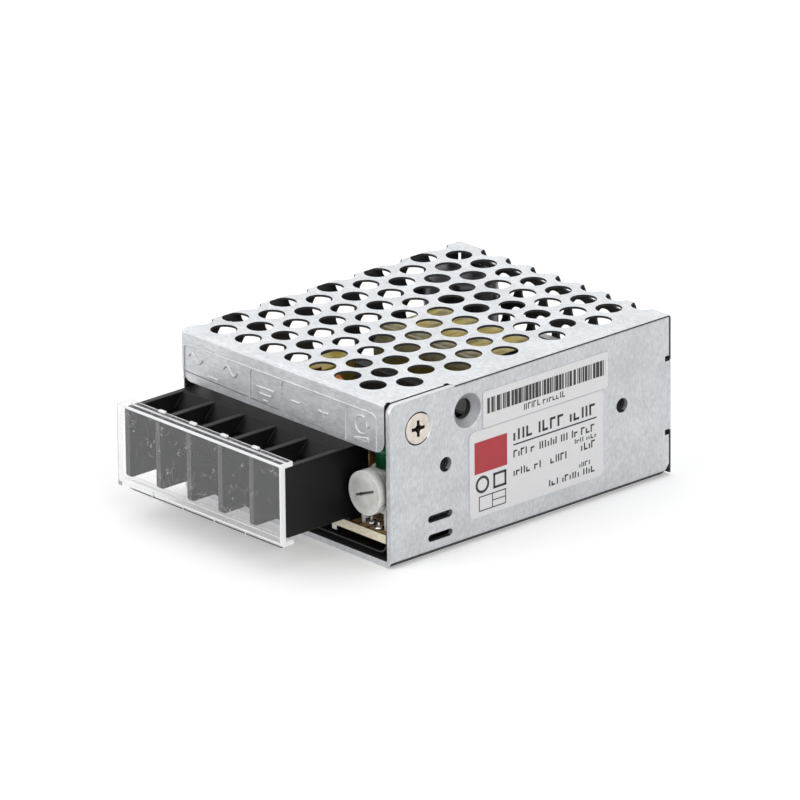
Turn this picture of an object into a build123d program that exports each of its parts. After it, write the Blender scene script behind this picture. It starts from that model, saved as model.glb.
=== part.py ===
from build123d import *
from math import cos, pi, sqrt
import os

# Mesh case switching power supply, in millimetres. X runs across the front from left to right,
# Y from the front to the back and Z up. The origin is the middle of the chassis underside.
# Places along Y are written as a distance behind the front face of the case.

# Case
case_width = 51.0
case_length = 62.5
case_height = 28.0
half_width = case_width / 2
front = -case_length / 2

# Chassis sheet
chassis_sheet = 1.0
chassis_bend = 1.3
left_lip = 5.0
cover_land = 0.1                 # air between the chassis lip or wall and the cover beside it
wall_corner = 1.5                # rounded front top corner of the right wall
tongue_low, tongue_high = 8.0, 20.0
relief = 0.9                     # width of the bend relief notches
back_chamfer_long, back_chamfer_high = 1.5, 1.9
tap_radius = 1.25                # tapped M3 hole, at the bottom of its thread
tap_wall = 0.85
tap_collar = 1.1                 # length of the drawn collar behind the sheet
side_taps = (12.1, 51.4)
side_tap_height = 14.9
floor_taps = (11.7, 51.0)
dimple_place, dimple_drop = 17.0, 5.1    # behind the front, below the top
dimple_radius = 3.0
dimple_hole = 1.75
dimple_wall = 0.5
slot_place = 10.85
slot_heights = (3.0, 6.3)
slot_length, slot_width = 5.3, 1.2

# Perforated cover, one folded sheet
cover_sheet = 0.4
cover_bend = 0.6
cover_foot = 0.3                 # the cover walls stop this far above the standing face
hole_radius = 2.25
hole_sides = 12                  # flats that stand for the round punch, to keep the sheet light
hole_pitch = 6.05
row_step = hole_pitch * sqrt(3) / 2
hole_margin = 5.5                # nearest hole centres from the left and right bends
first_row = 4.8
back_rows = 3
wall_columns = 3
flange_side_left, flange_side_right = 0.5, 1.4
flange_gap = 1.0                 # air between the front flange and the terminal block
flange_corner = 2.2
seam = 0.1                       # open slit where two folds of the cover meet
tab_start, tab_end = 1.3, 13.2
tab_drop = 10.5
tab_corner = 1.0

# Cover screw
screw_place, screw_drop = 6.2, 5.4
m3_radius = 1.5
thread_fit = 0.02
cover_screw_head = 2.6
head_play = 0.3
cover_screw_length = 6.0
recess_length, recess_width, recess_depth = 3.0, 0.6, 0.7

# Board and what holds it
board_bottom = 3.85
board_thick = 1.6
board_top = board_bottom + board_thick
board_side_gap = 0.5             # to the right wall
board_front = 0.2
board_back_gap = 0.7
front_boss = (3.0, 9.5)
back_boss_edge, back_boss_back = 3.8, 4.4    # from the right and back edges of the board
boss_top_radius = 2.6
boss_foot_radius = 3.6
board_hole = 1.7
board_screw_head, board_screw_head_high = 2.7, 1.6
board_screw_length = 4.6
film_sheet = 0.25
film_bend = 2.2
film_side_gap = 0.05
film_right_high = 12.0
film_hole_play = 0.4

# Terminal block, with as many ways as fit beside the bay of the trimmer and the lamp
way_pitch = 7.62
fin = 1.2
block_side = 1.6                 # from the left face of the case
control_bay = 9.9
block_top = 18.2
block_bottom = 6.1
fin_front = -13.6
fin_corner = 2.6
cell_back = -3.9
ramp = 2.3
block_back = 4.5
block_left = -half_width + block_side
ways = int((case_width - block_side - fin - control_bay) / way_pitch)
block_right = block_left + ways * way_pitch + fin
first_way = block_left + (way_pitch + fin) / 2
screw_height = 12.0
terminal_plate = 1.0
plate_width = 5.8
plate_low, plate_high = 7.2, 15.4
tail_width, tail_thick = 1.2, 0.8
tail_back = 1.6
tail_below_board = 1.2
tail_play = 0.2
clamp_thick = 1.2
clamp_size = 6.0
clamp_edge = 0.7
clamp_low, clamp_high = 8.6, 15.4
m35_radius = 1.75
running_fit = 0.05
shank_back = 2.0
well_play = 0.5
pan_radius = 2.9
pan_high = 2.3
pan_edge = 0.7
slot_cut_width, slot_cut_depth = 0.8, 1.1

# Clear cover over the terminals
lid_front = -15.0
lid_sheet = 1.2
lid_lip_sheet = 0.9
lid_lip = 2.9
lid_overhang = 0.4               # how far it reaches past the outer fins
lid_gap_top, lid_gap_bottom = 0.1, 0.3

# Voltage trimmer and lamp
dial_edge, dial_height = 5.5, 11.8           # from the right face, above the underside
dial_radius = 3.75
dial_front, dial_back = -0.8, 0.9
dial_slot_width, dial_slot_depth = 0.7, 0.8
spindle_radius = 1.2
spindle_back = 2.6
trimmer_half = 3.4
trimmer_gap = 0.2
trimmer_back = 4.3
leg_width, leg_thick = 0.7, 0.3
lamp_edge, lamp_place = 8.6, 6.6
lamp_radius = 1.5
lamp_rim, lamp_rim_high = 1.9, 0.8
lamp_foot = 12.9
lamp_barrel = 2.6

# Transformer
core_edge_left, core_edge_right = 10.3, 9.0      # room for the parts on each side of the core
core_front = 27.5
core_edge_back = 12.0
core_thick = 6.0
core_bar = 2.0
leg_share = 0.1                  # width of an outer leg as a share of the core's length
coil_end = 0.4
coil_radius = 2.6
coil_headroom, coil_footroom = 3.4, 0.75
coil_play = 0.1
bobbin_rail = 3.0

# Stickers
sticker = 0.12
rating_span, rating_low, rating_corner = (17.2, 47.0), 3.9, 1.0
barcode_span, barcode_drop, barcode_corner = (20.3, 48.1), (9.0, 2.8), 0.4
sticker_gap = 0.2

parts = {}


def block(x, y, z):
    """A box from its low and high value along each axis."""
    middle = ((x[0] + x[1]) / 2, (y[0] + y[1]) / 2, (z[0] + z[1]) / 2)
    return Pos(*middle) * Box(x[1] - x[0], y[1] - y[0], z[1] - z[0])


def span(start, end):
    """Two distances behind the case front as places on Y."""
    return front + start, front + end


def rod_x(y, z, radius, x):
    """A cylinder along X between two values of X."""
    return Pos((x[0] + x[1]) / 2, y, z) * Rot(0, 90, 0) * Cylinder(radius, x[1] - x[0])


def rod_y(x, z, radius, y):
    """A cylinder along Y between two values of Y."""
    return Pos(x, (y[0] + y[1]) / 2, z) * Rot(90, 0, 0) * Cylinder(radius, y[1] - y[0])


def rod_z(x, y, radius, z):
    """A cylinder along Z between two values of Z."""
    return Pos(x, y, (z[0] + z[1]) / 2) * Cylinder(radius, z[1] - z[0])


def along_x(section, x):
    """A section drawn in Y and Z, as a bar between two values of X."""
    return Pos(x[0], 0, 0) * extrude(Plane.YZ * section, amount=x[1] - x[0])


def along_y(section, y):
    """A section drawn in X and Z, as a bar between two values of Y."""
    return Pos(0, y[1], 0) * extrude(Plane.XZ * section, amount=y[1] - y[0])


def along_z(section, z):
    """A section drawn in X and Y, as a bar between two values of Z."""
    return Pos(0, 0, z[0]) * extrude(section, amount=z[1] - z[0])


def outline(*points):
    """A flat face with straight sides."""
    return make_face(Polyline(*points, close=True))


def rounded(face, corners):
    """The face with each named corner rounded: corners holds point and radius pairs."""
    for point, radius in corners:
        nearest = face.vertices().sort_by_distance((point[0], point[1], 0))[0]
        face = fillet(nearest, radius)
    return face


def fold(run, drop, sheet, bend):
    """Section of a sheet that runs to the right and bends down at the origin."""
    face = outline((run, 0), (0, 0), (0, -drop), (sheet, -drop), (sheet, -sheet), (run, -sheet))
    return rounded(face, (((0, 0), bend), ((sheet, -sheet), bend - sheet)))


def add(name, shape):
    """Keep a piece under the name of its node."""
    parts[name] = shape


# Chassis: floor, right wall and a low left lip, folded from one sheet

wall_inside = half_width - chassis_sheet
lip_outside = -half_width + cover_sheet + cover_land
wall_top = case_height - cover_sheet
wall_top_front = case_height - cover_land
sheet_back = case_length - cover_sheet
tab_zone = tab_end + relief
outside = 1.0                    # cuts reach this far past a face
board_left = lip_outside + chassis_sheet + film_side_gap + film_sheet
board_right = wall_inside - board_side_gap
board_back = sheet_back - board_back_gap
boss_places = (front_boss, (board_right - back_boss_edge, board_back - back_boss_back))


def make_chassis():
    section = outline(
        (lip_outside, left_lip), (lip_outside, 0), (half_width, 0), (half_width, wall_top_front),
        (wall_inside, wall_top_front), (wall_inside, chassis_sheet),
        (lip_outside + chassis_sheet, chassis_sheet), (lip_outside + chassis_sheet, left_lip))
    inner = chassis_bend - chassis_sheet
    section = rounded(section, (
        ((lip_outside, 0), chassis_bend), ((half_width, 0), chassis_bend),
        ((lip_outside + chassis_sheet, chassis_sheet), inner), ((wall_inside, chassis_sheet), inner)))
    body = along_y(section, span(0, case_length))
    whole = (-case_width, case_width)
    past = case_length + outside
    body -= block(whole, span(tab_zone, past), (wall_top, case_height))
    body -= block(whole, span(sheet_back, past), (-outside, tongue_low))
    body -= block(whole, span(sheet_back, past), (tongue_high, case_height))
    for low in (tongue_low - relief, tongue_high):
        body -= block(whole, span(sheet_back - relief, past), (low, low + relief))
    top_corner = body.edges().filter_by(Axis.X).sort_by_distance((half_width, front, wall_top_front))[0]
    body = fillet(top_corner, wall_corner)
    back = front + sheet_back
    corner = outline(
        (back - back_chamfer_long, -outside), (back - back_chamfer_long, 0), (back, back_chamfer_high),
        (back + outside, back_chamfer_high), (back + outside, -outside))
    body -= along_x(corner, (wall_inside - chassis_bend, half_width + outside))
    body = with_side_holes(body)
    return with_floor_features(body)


def with_side_holes(body):
    """Cover screw hole, two tapped holes, the dimpled hole and two slots in the right wall."""
    y, z = front + screw_place, case_height - screw_drop
    depth = chassis_sheet
    seat = cover_screw_head + head_play
    body -= Pos(half_width - depth / 2, y, z) * Rot(0, 90, 0) * Cone(seat - depth, seat, depth)
    for place in side_taps:
        y = front + place
        body += rod_x(y, side_tap_height, tap_radius + tap_wall, (wall_inside - tap_collar, wall_inside))
        body -= rod_x(y, side_tap_height, tap_radius, (wall_inside - tap_collar, half_width))
    y, z = front + dimple_place, case_height - dimple_drop
    sink = dimple_radius - dimple_hole
    body += Pos(wall_inside - sink / 2, y, z) * Rot(0, 90, 0) * Cone(
        dimple_hole + dimple_wall, dimple_radius + dimple_wall, sink)
    body -= Pos(half_width - sink / 2, y, z) * Rot(0, 90, 0) * Cone(dimple_hole, dimple_radius, sink)
    body -= rod_x(y, z, dimple_hole, (wall_inside - sink, half_width))
    for height in slot_heights:
        slot = Pos(front + slot_place, height) * SlotOverall(slot_length, slot_width)
        body -= along_x(slot, (wall_inside, half_width))
    return body


def with_floor_features(body):
    """Hollow drawn bosses that carry the board, and tapped fixing holes."""
    for x, place in boss_places:
        y = front + place
        rise = board_bottom - chassis_sheet
        boss = Pos(x, y, chassis_sheet + rise / 2) * Cone(boss_foot_radius, boss_top_radius, rise)
        hollow = Pos(x, y, rise / 2) * Cone(
            boss_foot_radius - chassis_sheet / 2, boss_top_radius - chassis_sheet / 2, rise)
        body = body + boss - hollow - rod_z(x, y, m3_radius, (0, board_bottom))
    for place in floor_taps:
        y = front + place
        body += rod_z(0, y, tap_radius + tap_wall, (chassis_sheet, chassis_sheet + tap_collar))
        body -= rod_z(0, y, tap_radius, (0, chassis_sheet + tap_collar))
    return body


# Perforated cover: top, left wall, back wall, front flange and screw tab, folded from one sheet


def hole_places():
    """Centres of the punched holes on the flat sheet, as X and distance from the front."""
    places = []
    first_hole_x = -half_width + hole_margin
    holes_across = 1 + int((case_width - 2 * hole_margin - hole_pitch / 2) / hole_pitch)
    top_rows = 1 + int((case_length - first_row) / row_step)
    for row in range(top_rows + back_rows):
        shift = (row % 2) * hole_pitch / 2
        for column in range(-wall_columns - 1, holes_across + 1):
            x = first_hole_x + column * hole_pitch + shift
            last = first_hole_x + (holes_across - 1) * hole_pitch + shift
            place = first_row + row * row_step
            by_corner = x + half_width < hole_pitch / 2 and case_length - place < hole_pitch / 2
            if x < last + hole_pitch / 4 and not by_corner:
                places.append((x, place))
    return places


def hole_cutter():
    """Punches for the top, the left wall and the back wall."""
    punch = RegularPolygon(hole_radius / cos(pi / hole_sides), hole_sides)
    top, left, back = [], [], []
    wall_low = case_height - wall_columns * hole_pitch
    for x, place in hole_places():
        past_left = -half_width - x
        past_back = place - case_length
        if past_left < hole_radius and past_back < hole_radius:
            top.append(Pos(x, front + place) * punch)
        height = case_height - past_left
        if past_left > -hole_radius / 2 and past_back < -hole_radius and height > wall_low:
            left.append(Pos(front + place, height) * punch)
        if past_back > -hole_radius / 2 and past_left < -hole_radius / 2:
            back.append(Pos(x, case_height - past_back) * punch)
    over = (case_height - cover_bend, case_height + outside)
    beside = (-half_width - outside, -half_width + cover_bend)
    behind = (-front - cover_bend, -front + outside)
    return ([along_z(face, over) for face in top] + [along_x(face, beside) for face in left]
            + [along_y(face, behind) for face in back])


def make_mesh_cover():
    flat_left = -half_width + cover_bend
    flat_back = case_length - cover_bend
    tab_outside = wall_inside - cover_land
    flat_right_front = tab_outside - cover_bend
    skin = (case_height - cover_sheet, case_height)
    body = block((flat_left, flat_right_front), span(cover_bend, flat_back), skin)
    body += block((flat_right_front, half_width), span(tab_zone, flat_back), skin)
    wall_drop = case_height - cover_foot
    left_fold = Pos(-half_width, case_height) * fold(cover_bend, wall_drop, cover_sheet, cover_bend)
    body += along_y(left_fold, span(cover_bend + seam, flat_back - seam))
    back_fold = mirror(fold(cover_bend, wall_drop, cover_sheet, cover_bend), Plane.YZ)
    body += along_x(Pos(-front, case_height) * back_fold, (flat_left, half_width))
    flange_drop = case_height - block_top - flange_gap
    front_fold = Pos(front, case_height) * fold(cover_bend, flange_drop, cover_sheet, cover_bend)
    flange = along_x(front_fold, (-half_width + flange_side_left, half_width - flange_side_right))
    low = flange.edges().filter_by(Axis.Y).group_by(Axis.Z)[0]
    body += fillet(low, flange_corner)
    tab_fold = Pos(tab_outside, case_height) * mirror(
        fold(cover_bend, tab_drop, cover_sheet, cover_bend), Plane.YZ)
    tab = along_y(tab_fold, span(tab_start, tab_end))
    low = tab.edges().filter_by(Axis.X).group_by(Axis.Z)[0]
    body += fillet(low, tab_corner)
    y, z = front + screw_place, case_height - screw_drop
    tab_inside = tab_outside - cover_sheet
    body += rod_x(y, z, m3_radius + tap_wall, (tab_inside - tap_collar, tab_inside))
    body -= rod_x(y, z, m3_radius, (tab_inside - tap_collar, tab_outside))
    body -= block((wall_inside - seam, half_width + outside), span(sheet_back, case_length + outside),
                  (tongue_low - seam, tongue_high + seam))
    return body - hole_cutter()


def make_cover_screw():
    y, z = front + screw_place, case_height - screw_drop
    shank = m3_radius - thread_fit
    taper = cover_screw_head - shank
    head = Pos(half_width - taper / 2, y, z) * Rot(0, 90, 0) * Cone(shank, cover_screw_head, taper)
    screw = head + rod_x(y, z, shank, (half_width - cover_screw_length, half_width - taper))
    for turn in (0, 90):
        cut = Rot(turn, 0, 0) * Box(2 * recess_depth, recess_length, recess_width)
        screw -= Pos(half_width, y, z) * cut
    return screw


# Board, film under it and the screws that hold it


def make_circuit_board():
    board = block((board_left, board_right), span(board_front, board_back), (board_bottom, board_top))
    through = (board_bottom, board_top)
    for x, place in boss_places:
        board -= rod_z(x, front + place, board_hole, through)
    for x in way_centres():
        hole = (x - tail_width / 2 - tail_play, x + tail_width / 2 + tail_play)
        board -= block(hole, span(tail_back - tail_thick - tail_play, tail_back + tail_play), through)
    return board


def make_insulation_film():
    left = lip_outside + chassis_sheet + film_side_gap
    right = wall_inside - film_side_gap
    low = chassis_sheet + tap_collar
    sheet = film_sheet
    section = outline(
        (left, left_lip), (left, low), (right, low), (right, film_right_high),
        (right - sheet, film_right_high), (right - sheet, low + sheet), (left + sheet, low + sheet),
        (left + sheet, left_lip))
    small = board_bottom - low - sheet
    section = rounded(section, (
        ((left, low), small), ((left + sheet, low + sheet), small - sheet),
        ((right, low), film_bend), ((right - sheet, low + sheet), film_bend - sheet)))
    film = along_y(section, span(board_front, board_back))
    for x, place in boss_places:
        film -= rod_z(x, front + place, boss_foot_radius + film_hole_play, (low, low + film_bend))
    return film


def make_board_screws():
    """Pan head screws with a cross recess, one on each boss."""
    screws = []
    for x, place in boss_places:
        y = front + place
        head = rod_z(x, y, board_screw_head, (board_top, board_top + board_screw_head_high))
        shank = m3_radius - thread_fit
        screw = head + rod_z(x, y, shank, (board_top - board_screw_length, board_top))
        for turn in (0, 90):
            cut = Rot(0, 0, turn) * Box(recess_length, recess_width, 2 * recess_depth)
            screw -= Pos(x, y, board_top + board_screw_head_high) * cut
        screws.append(screw)
    return Compound(children=screws)


# Terminal block


def way_centres():
    return [first_way + way * way_pitch for way in range(ways)]


def make_terminal_housing():
    """Body with a ramped top behind five cells, between six fins."""
    y_cell, y_back = span(cell_back, block_back)
    y_case = front + board_front
    section = outline(
        (y_cell, block_bottom), (y_cell, block_top - ramp), (y_cell + ramp, block_top),
        (y_back, block_top), (y_back, board_top), (y_case, board_top), (y_case, block_bottom))
    housing = along_x(section, (block_left, block_right))
    y_fin, y_join = span(fin_front, cell_back + ramp)
    side = outline((y_fin, block_bottom), (y_join, block_bottom), (y_join, block_top), (y_fin, block_top))
    side = rounded(side, (((y_fin, block_bottom), fin_corner),))
    for number in range(ways + 1):
        left = block_left + number * way_pitch
        housing += along_x(side, (left, left + fin))
    for x in way_centres():
        well = (front + cell_back, front + shank_back + well_play)
        housing -= rod_y(x, screw_height, m35_radius + well_play / 2, well)
        slot = (x - tail_width / 2 - tail_play, x + tail_width / 2 + tail_play)
        housing -= block(slot, span(cell_back, tail_back + tail_play),
                         (board_top, plate_low + tail_play))
    return housing


def make_terminal_plates():
    """One plate a way, with a tail under the body that turns down through the board."""
    plates = []
    face = cell_back - terminal_plate
    for x in way_centres():
        wide = (x - plate_width / 2, x + plate_width / 2)
        plate = block(wide, span(face, cell_back), (plate_low, plate_high))
        plate -= rod_y(x, screw_height, m35_radius + running_fit, span(face, cell_back))
        narrow = (x - tail_width / 2, x + tail_width / 2)
        low = plate_low - tail_thick
        plate += block(narrow, span(face, tail_back), (low, plate_low))
        plate += block(narrow, span(tail_back - tail_thick, tail_back),
                       (board_bottom - tail_below_board, plate_low))
        plates.append(plate)
    return Compound(children=plates)


def make_wire_clamp(x):
    """Square plate behind the screw head."""
    face = cell_back - terminal_plate - clamp_thick
    wide = (x - clamp_size / 2, x + clamp_size / 2)
    clamp = block(wide, span(face, face + clamp_thick), (clamp_low, clamp_high))
    clamp = chamfer(clamp.edges().filter_by(Axis.Y), clamp_edge)
    return clamp - rod_y(x, screw_height, m35_radius + running_fit, span(face, face + clamp_thick))


def make_terminal_screw(x):
    """Pan head screw with one straight slot, head towards the front."""
    under = cell_back - terminal_plate - clamp_thick
    top = under - pan_high
    head = rod_y(x, screw_height, pan_radius, span(top, under))
    head = chamfer(head.edges().group_by(Axis.Y)[0], pan_edge)
    screw = head + rod_y(x, screw_height, m35_radius, span(under, shank_back))
    cut = (x - pan_radius, x + pan_radius)
    half = slot_cut_width / 2
    return screw - block(cut, span(top, top + slot_cut_depth), (screw_height - half, screw_height + half))


def make_terminal_cover():
    """Clear channel: a front panel with a lip above and below the fins."""
    low = block_bottom - lid_gap_bottom - lid_lip_sheet
    high = block_top + lid_gap_top + lid_lip_sheet
    y_front, y_lip = span(lid_front, lid_front + lid_lip)
    y_inside = y_front + lid_sheet
    section = outline(
        (y_front, low), (y_lip, low), (y_lip, low + lid_lip_sheet), (y_inside, low + lid_lip_sheet),
        (y_inside, high - lid_lip_sheet), (y_lip, high - lid_lip_sheet), (y_lip, high), (y_front, high))
    return along_x(section, (block_left - lid_overhang, block_right + lid_overhang))


# Trimmer and lamp


def make_trimmer_dial():
    x, z = half_width - dial_edge, dial_height
    dial = rod_y(x, z, dial_radius, span(dial_front, dial_back))
    dial += rod_y(x, z, spindle_radius, span(dial_back, spindle_back))
    half = dial_slot_width / 2
    reach = dial_radius - dial_slot_width
    return dial - block((x - reach, x + reach), span(dial_front, dial_front + dial_slot_depth),
                        (z - half, z + half))


def make_trimmer_body():
    """Square body behind the dial on three flat legs."""
    x, z = half_width - dial_edge, dial_height
    face = dial_back + trimmer_gap
    body = block((x - trimmer_half, x + trimmer_half), span(face, trimmer_back),
                 (z - trimmer_half, z + trimmer_half))
    body -= rod_y(x, z, spindle_radius + running_fit, span(face, spindle_back + trimmer_gap))
    for offset in (-trimmer_half + leg_width, 0, trimmer_half - leg_width):
        middle = x + offset
        place = face + leg_thick if offset else trimmer_back - 2 * leg_thick
        body += block((middle - leg_width / 2, middle + leg_width / 2), span(place, place + leg_thick),
                      (board_top, z - trimmer_half))
    return body


def make_indicator_led():
    """Domed lamp on two straight leads."""
    x, y = half_width - lamp_edge, front + lamp_place
    rim_top = lamp_foot + lamp_rim_high
    lamp = rod_z(x, y, lamp_rim, (lamp_foot, rim_top))
    lamp += rod_z(x, y, lamp_radius, (rim_top, rim_top + lamp_barrel))
    lamp += Pos(x, y, rim_top + lamp_barrel) * Sphere(lamp_radius)
    for offset in (-lamp_radius / 2, lamp_radius / 2):
        lead = (x + offset - leg_thick, x + offset + leg_thick)
        lamp += block(lead, (y - leg_thick, y + leg_thick), (board_top, lamp_foot))
    return lamp


# Transformer

core_left = board_left + core_edge_left
core_right = board_right - core_edge_right
core_back = board_back - core_edge_back
core_leg = leg_share * (core_back - core_front)
coil_left = core_left + core_bar + coil_end
coil_right = core_right - core_bar - coil_end
coil_top = wall_top - coil_headroom
core_middle = (coil_top + board_top + coil_footroom) / 2
core_low, core_high = core_middle - core_thick / 2, core_middle + core_thick / 2


def make_transformer():
    """Flat lying core in two halves, a bobbin with a rail at each end and a taped coil."""
    y = span(core_front, core_back)
    z = (core_low, core_high)
    middle = (core_left + core_right) / 2
    window = (core_left + core_bar, core_right - core_bar)
    centre_y = (y[0] + y[1]) / 2
    leg = (centre_y - core_leg, centre_y + core_leg)
    halves = []
    for x in ((core_left, middle), (middle, core_right)):
        half = block(x, y, z)
        inner = (max(x[0], window[0]), min(x[1], window[1]))
        half -= block(inner, (y[0] + core_leg, leg[0]), z)
        half -= block(inner, (leg[1], y[1] - core_leg), z)
        halves.append(half)
    coil = (coil_left, coil_right)
    coil_half = (core_high + core_low) / 2
    reach = y[1] - core_leg - coil_play - centre_y
    rise = coil_top - coil_half
    corner = min(coil_radius, reach) - coil_play
    section = Pos(centre_y, coil_half) * RectangleRounded(2 * reach, 2 * rise, corner)
    tube = section - Pos(centre_y, coil_half) * Rectangle(
        2 * (core_leg + 2 * coil_play + bobbin_rail / 4),
        core_high - core_low + 4 * coil_play + bobbin_rail / 2)
    winding = along_x(tube, coil)
    return Compound(children=halves), winding


def make_bobbin():
    """Sleeve on the centre leg with an end flange and a pin rail at each end."""
    centre_y = front + (core_front + core_back) / 2
    centre_z = (core_low + core_high) / 2
    sleeve_y = core_leg + 2 * coil_play + bobbin_rail / 4
    sleeve_z = (core_high - core_low) / 2 + 2 * coil_play + bobbin_rail / 4
    opening = Rectangle(2 * (core_leg + coil_play), core_high - core_low + 2 * coil_play)
    flange_x = coil_end - 2 * coil_play
    window_y = (core_back - core_front) / 2 - core_leg - coil_play
    section = Pos(centre_y, centre_z) * (Rectangle(2 * sleeve_y, 2 * sleeve_z) - opening)
    body = along_x(section, (coil_left - flange_x, coil_right + flange_x))
    flange = Pos(centre_y, centre_z) * (
        Rectangle(2 * window_y, 2 * (coil_top - centre_z) - coil_play) - opening)
    for x in (coil_left - flange_x, coil_right):
        body += along_x(flange, (x, x + flange_x))
        rail = (x, x + flange_x)
        body += block(rail, (centre_y - window_y, centre_y + window_y),
                      (board_top, centre_z - sleeve_z))
    return body


# Small parts on the board


def can(x, place, radius, height):
    """Upright electrolytic capacitor with a turned over top edge."""
    body = rod_z(x, front + place, radius, (board_top, board_top + height))
    return chamfer(body.edges().group_by(Axis.Z)[-1], radius / 12)


def boxed(x, place, size, corner=0.0):
    """Box shaped part that stands on the board, centred on a place."""
    y = front + place
    body = block((x - size[0] / 2, x + size[0] / 2), (y - size[1] / 2, y + size[1] / 2),
                 (board_top, board_top + size[2]))
    return chamfer(body.edges().filter_by(Axis.Z), corner) if corner else body


def disc_part(x, place, radius, thick, stand):
    """Upright disc, flat faces to the front and back, on two leads."""
    y = front + place
    z = board_top + stand + radius
    body = rod_y(x, z, radius, (y - thick / 2, y + thick / 2))
    for offset in (-radius / 2, radius / 2):
        body += block((x + offset - leg_thick, x + offset + leg_thick), (y - leg_thick, y + leg_thick),
                      (board_top, z))
    return body


def chip(x, place, across, along, high):
    """Dual in line part: a body above four square legs at its corners."""
    y = front + place
    stand = leg_width
    body = block((x - across / 2, x + across / 2), (y - along / 2, y + along / 2),
                 (board_top + stand, board_top + high))
    body = chamfer(body.edges().group_by(Axis.Z)[-1], stand / 2)
    middle = board_top + (stand + high) / 2
    for side in (-1, 1):
        for end in (-1, 1):
            leg_x = x + side * (across / 2 + leg_thick / 2)
            leg_y = y + end * (along / 2 - leg_width)
            body += block((leg_x - leg_thick / 2, leg_x + leg_thick / 2),
                          (leg_y - leg_width / 2, leg_y + leg_width / 2), (board_top, middle))
    return body


def axial(x, place, radius, length, turned=False):
    """Axial part that lies on the board, its wires bent down at both ends."""
    y = front + place
    z = board_top + radius
    reach = length / 2 + 2 * leg_width
    if turned:
        body = rod_y(x, z, radius, (y - length / 2, y + length / 2))
        body += block((x - leg_thick, x + leg_thick), (y - reach, y + reach), (z - leg_thick, z + leg_thick))
        for end in (y - reach, y + reach - 2 * leg_thick):
            body += block((x - leg_thick, x + leg_thick), (end, end + 2 * leg_thick), (board_top, z))
        return body
    body = rod_x(y, z, radius, (x - length / 2, x + length / 2))
    body += block((x - reach, x + reach), (y - leg_thick, y + leg_thick), (z - leg_thick, z + leg_thick))
    for end in (x - reach, x + reach - 2 * leg_thick):
        body += block((end, end + 2 * leg_thick), (y - leg_thick, y + leg_thick), (board_top, z))
    return body


# Power parts on their heatsinks

power_thick, power_wide = 4.5, 10.0
power_stand = 3.0
power_pitch = 2.54
sink_thick = 1.5
sink_over = 0.5                              # a plate stands this far above its part
switch_high, diode_high = 9.0, 15.5
sink_screw_drop = 3.4                        # below the top of the part
switch_x = 3.0
sink_margin = 0.4                            # the rear plate is this much wider each side
switch_sink_back = 2.8
diode_sink_edge = 2.1
diode_sink_front = 29.0
diode_sink_short = 2.5                       # it ends this far in front of the transformer core


def power_part(face, middle, high, legs, along, rod):
    """Moulded body with square legs, flat against its plate at the face."""
    low = board_top + power_stand
    near = face - power_thick
    screw_z = low + high - sink_screw_drop
    body = along((middle - power_wide / 2, middle + power_wide / 2), (near, face), (low, low + high))
    for offset in legs:
        body += along((middle + offset - leg_width / 2, middle + offset + leg_width / 2),
                      (near + power_thick / 2, near + power_thick / 2 + 2 * leg_thick), (board_top, low))
    head = rod(middle, screw_z, board_screw_head, (near - board_screw_head_high, near))
    shank = rod(middle, screw_z, m3_radius - thread_fit, (near, face + sink_thick))
    hole = rod(middle, screw_z, m3_radius, (near, face + sink_thick))
    return body - hole, head + shank, hole


def make_power_parts():
    """Two plates that stand on the board, each with one flat moulded part and a screw."""
    over = board_top + power_stand + sink_over
    face = front + board_back - switch_sink_back
    half = power_wide / 2
    transistor, first_screw, hole = power_part(
        face, switch_x, switch_high, (-power_pitch, 0, power_pitch), block, rod_y)
    sink = block((switch_x - half - sink_margin, switch_x + half + sink_margin), (face, face + sink_thick),
                 (board_top, over + switch_high))
    add("switch_heatsink", sink - hole)
    add("switch_transistor", transistor)
    face = board_right - diode_sink_edge
    y = span(diode_sink_front, core_back - diode_sink_short)
    diode, second_screw, hole = power_part(
        face, (y[0] + y[1]) / 2, diode_high, (-power_pitch, power_pitch),
        lambda wide, deep, high: block(deep, wide, high), rod_x)
    add("diode_heatsink", block((face, face + sink_thick), y, (board_top, over + diode_high)) - hole)
    add("output_diode", diode)
    add("heatsink_screws", Compound(children=[first_screw, second_screw]))


# Line filter choke and output inductor

choke_edge, choke_place = 12.3, 16.5
choke_ring, choke_hole, choke_wide = 6.2, 3.4, 5.0
choke_wire = 0.9
choke_gap = 1.6
inductor_edge, inductor_place = 15.2, 16.2
drum_radius, drum_core, drum_high, drum_flange = 4.6, 2.0, 10.0, 1.3
choke_x = board_left + choke_edge
inductor_x = board_right - inductor_edge


def make_choke():
    """Standing ferrite ring with a winding on each side."""
    x, y = choke_x, front + choke_place
    z = board_top + choke_ring + choke_wire
    ring_y = (y - choke_wide / 2, y + choke_wide / 2)
    ring = rod_y(x, z, choke_ring, ring_y) - rod_y(x, z, choke_hole, ring_y)
    coil_y = (ring_y[0] - choke_wire, ring_y[1] + choke_wire)
    coil = rod_y(x, z, choke_ring + choke_wire, coil_y) - rod_y(x, z, choke_hole - choke_wire, coil_y)
    coil -= ring
    tall = (z - 2 * choke_ring, z + 2 * choke_ring)
    coil -= block((x - choke_gap, x + choke_gap), coil_y, tall)
    return ring, coil


def make_inductor():
    """Drum core with its winding between the two flanges."""
    x, y = inductor_x, front + inductor_place
    low, high = board_top, board_top + drum_high
    drum = rod_z(x, y, drum_radius, (low, low + drum_flange))
    drum += rod_z(x, y, drum_radius, (high - drum_flange, high))
    drum += rod_z(x, y, drum_core, (low, high))
    wire = (low + drum_flange, high - drum_flange)
    coil = rod_z(x, y, drum_radius - choke_wire / 2, wire) - rod_z(x, y, drum_core, wire)
    return drum, coil


# Stickers on the right wall


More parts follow.
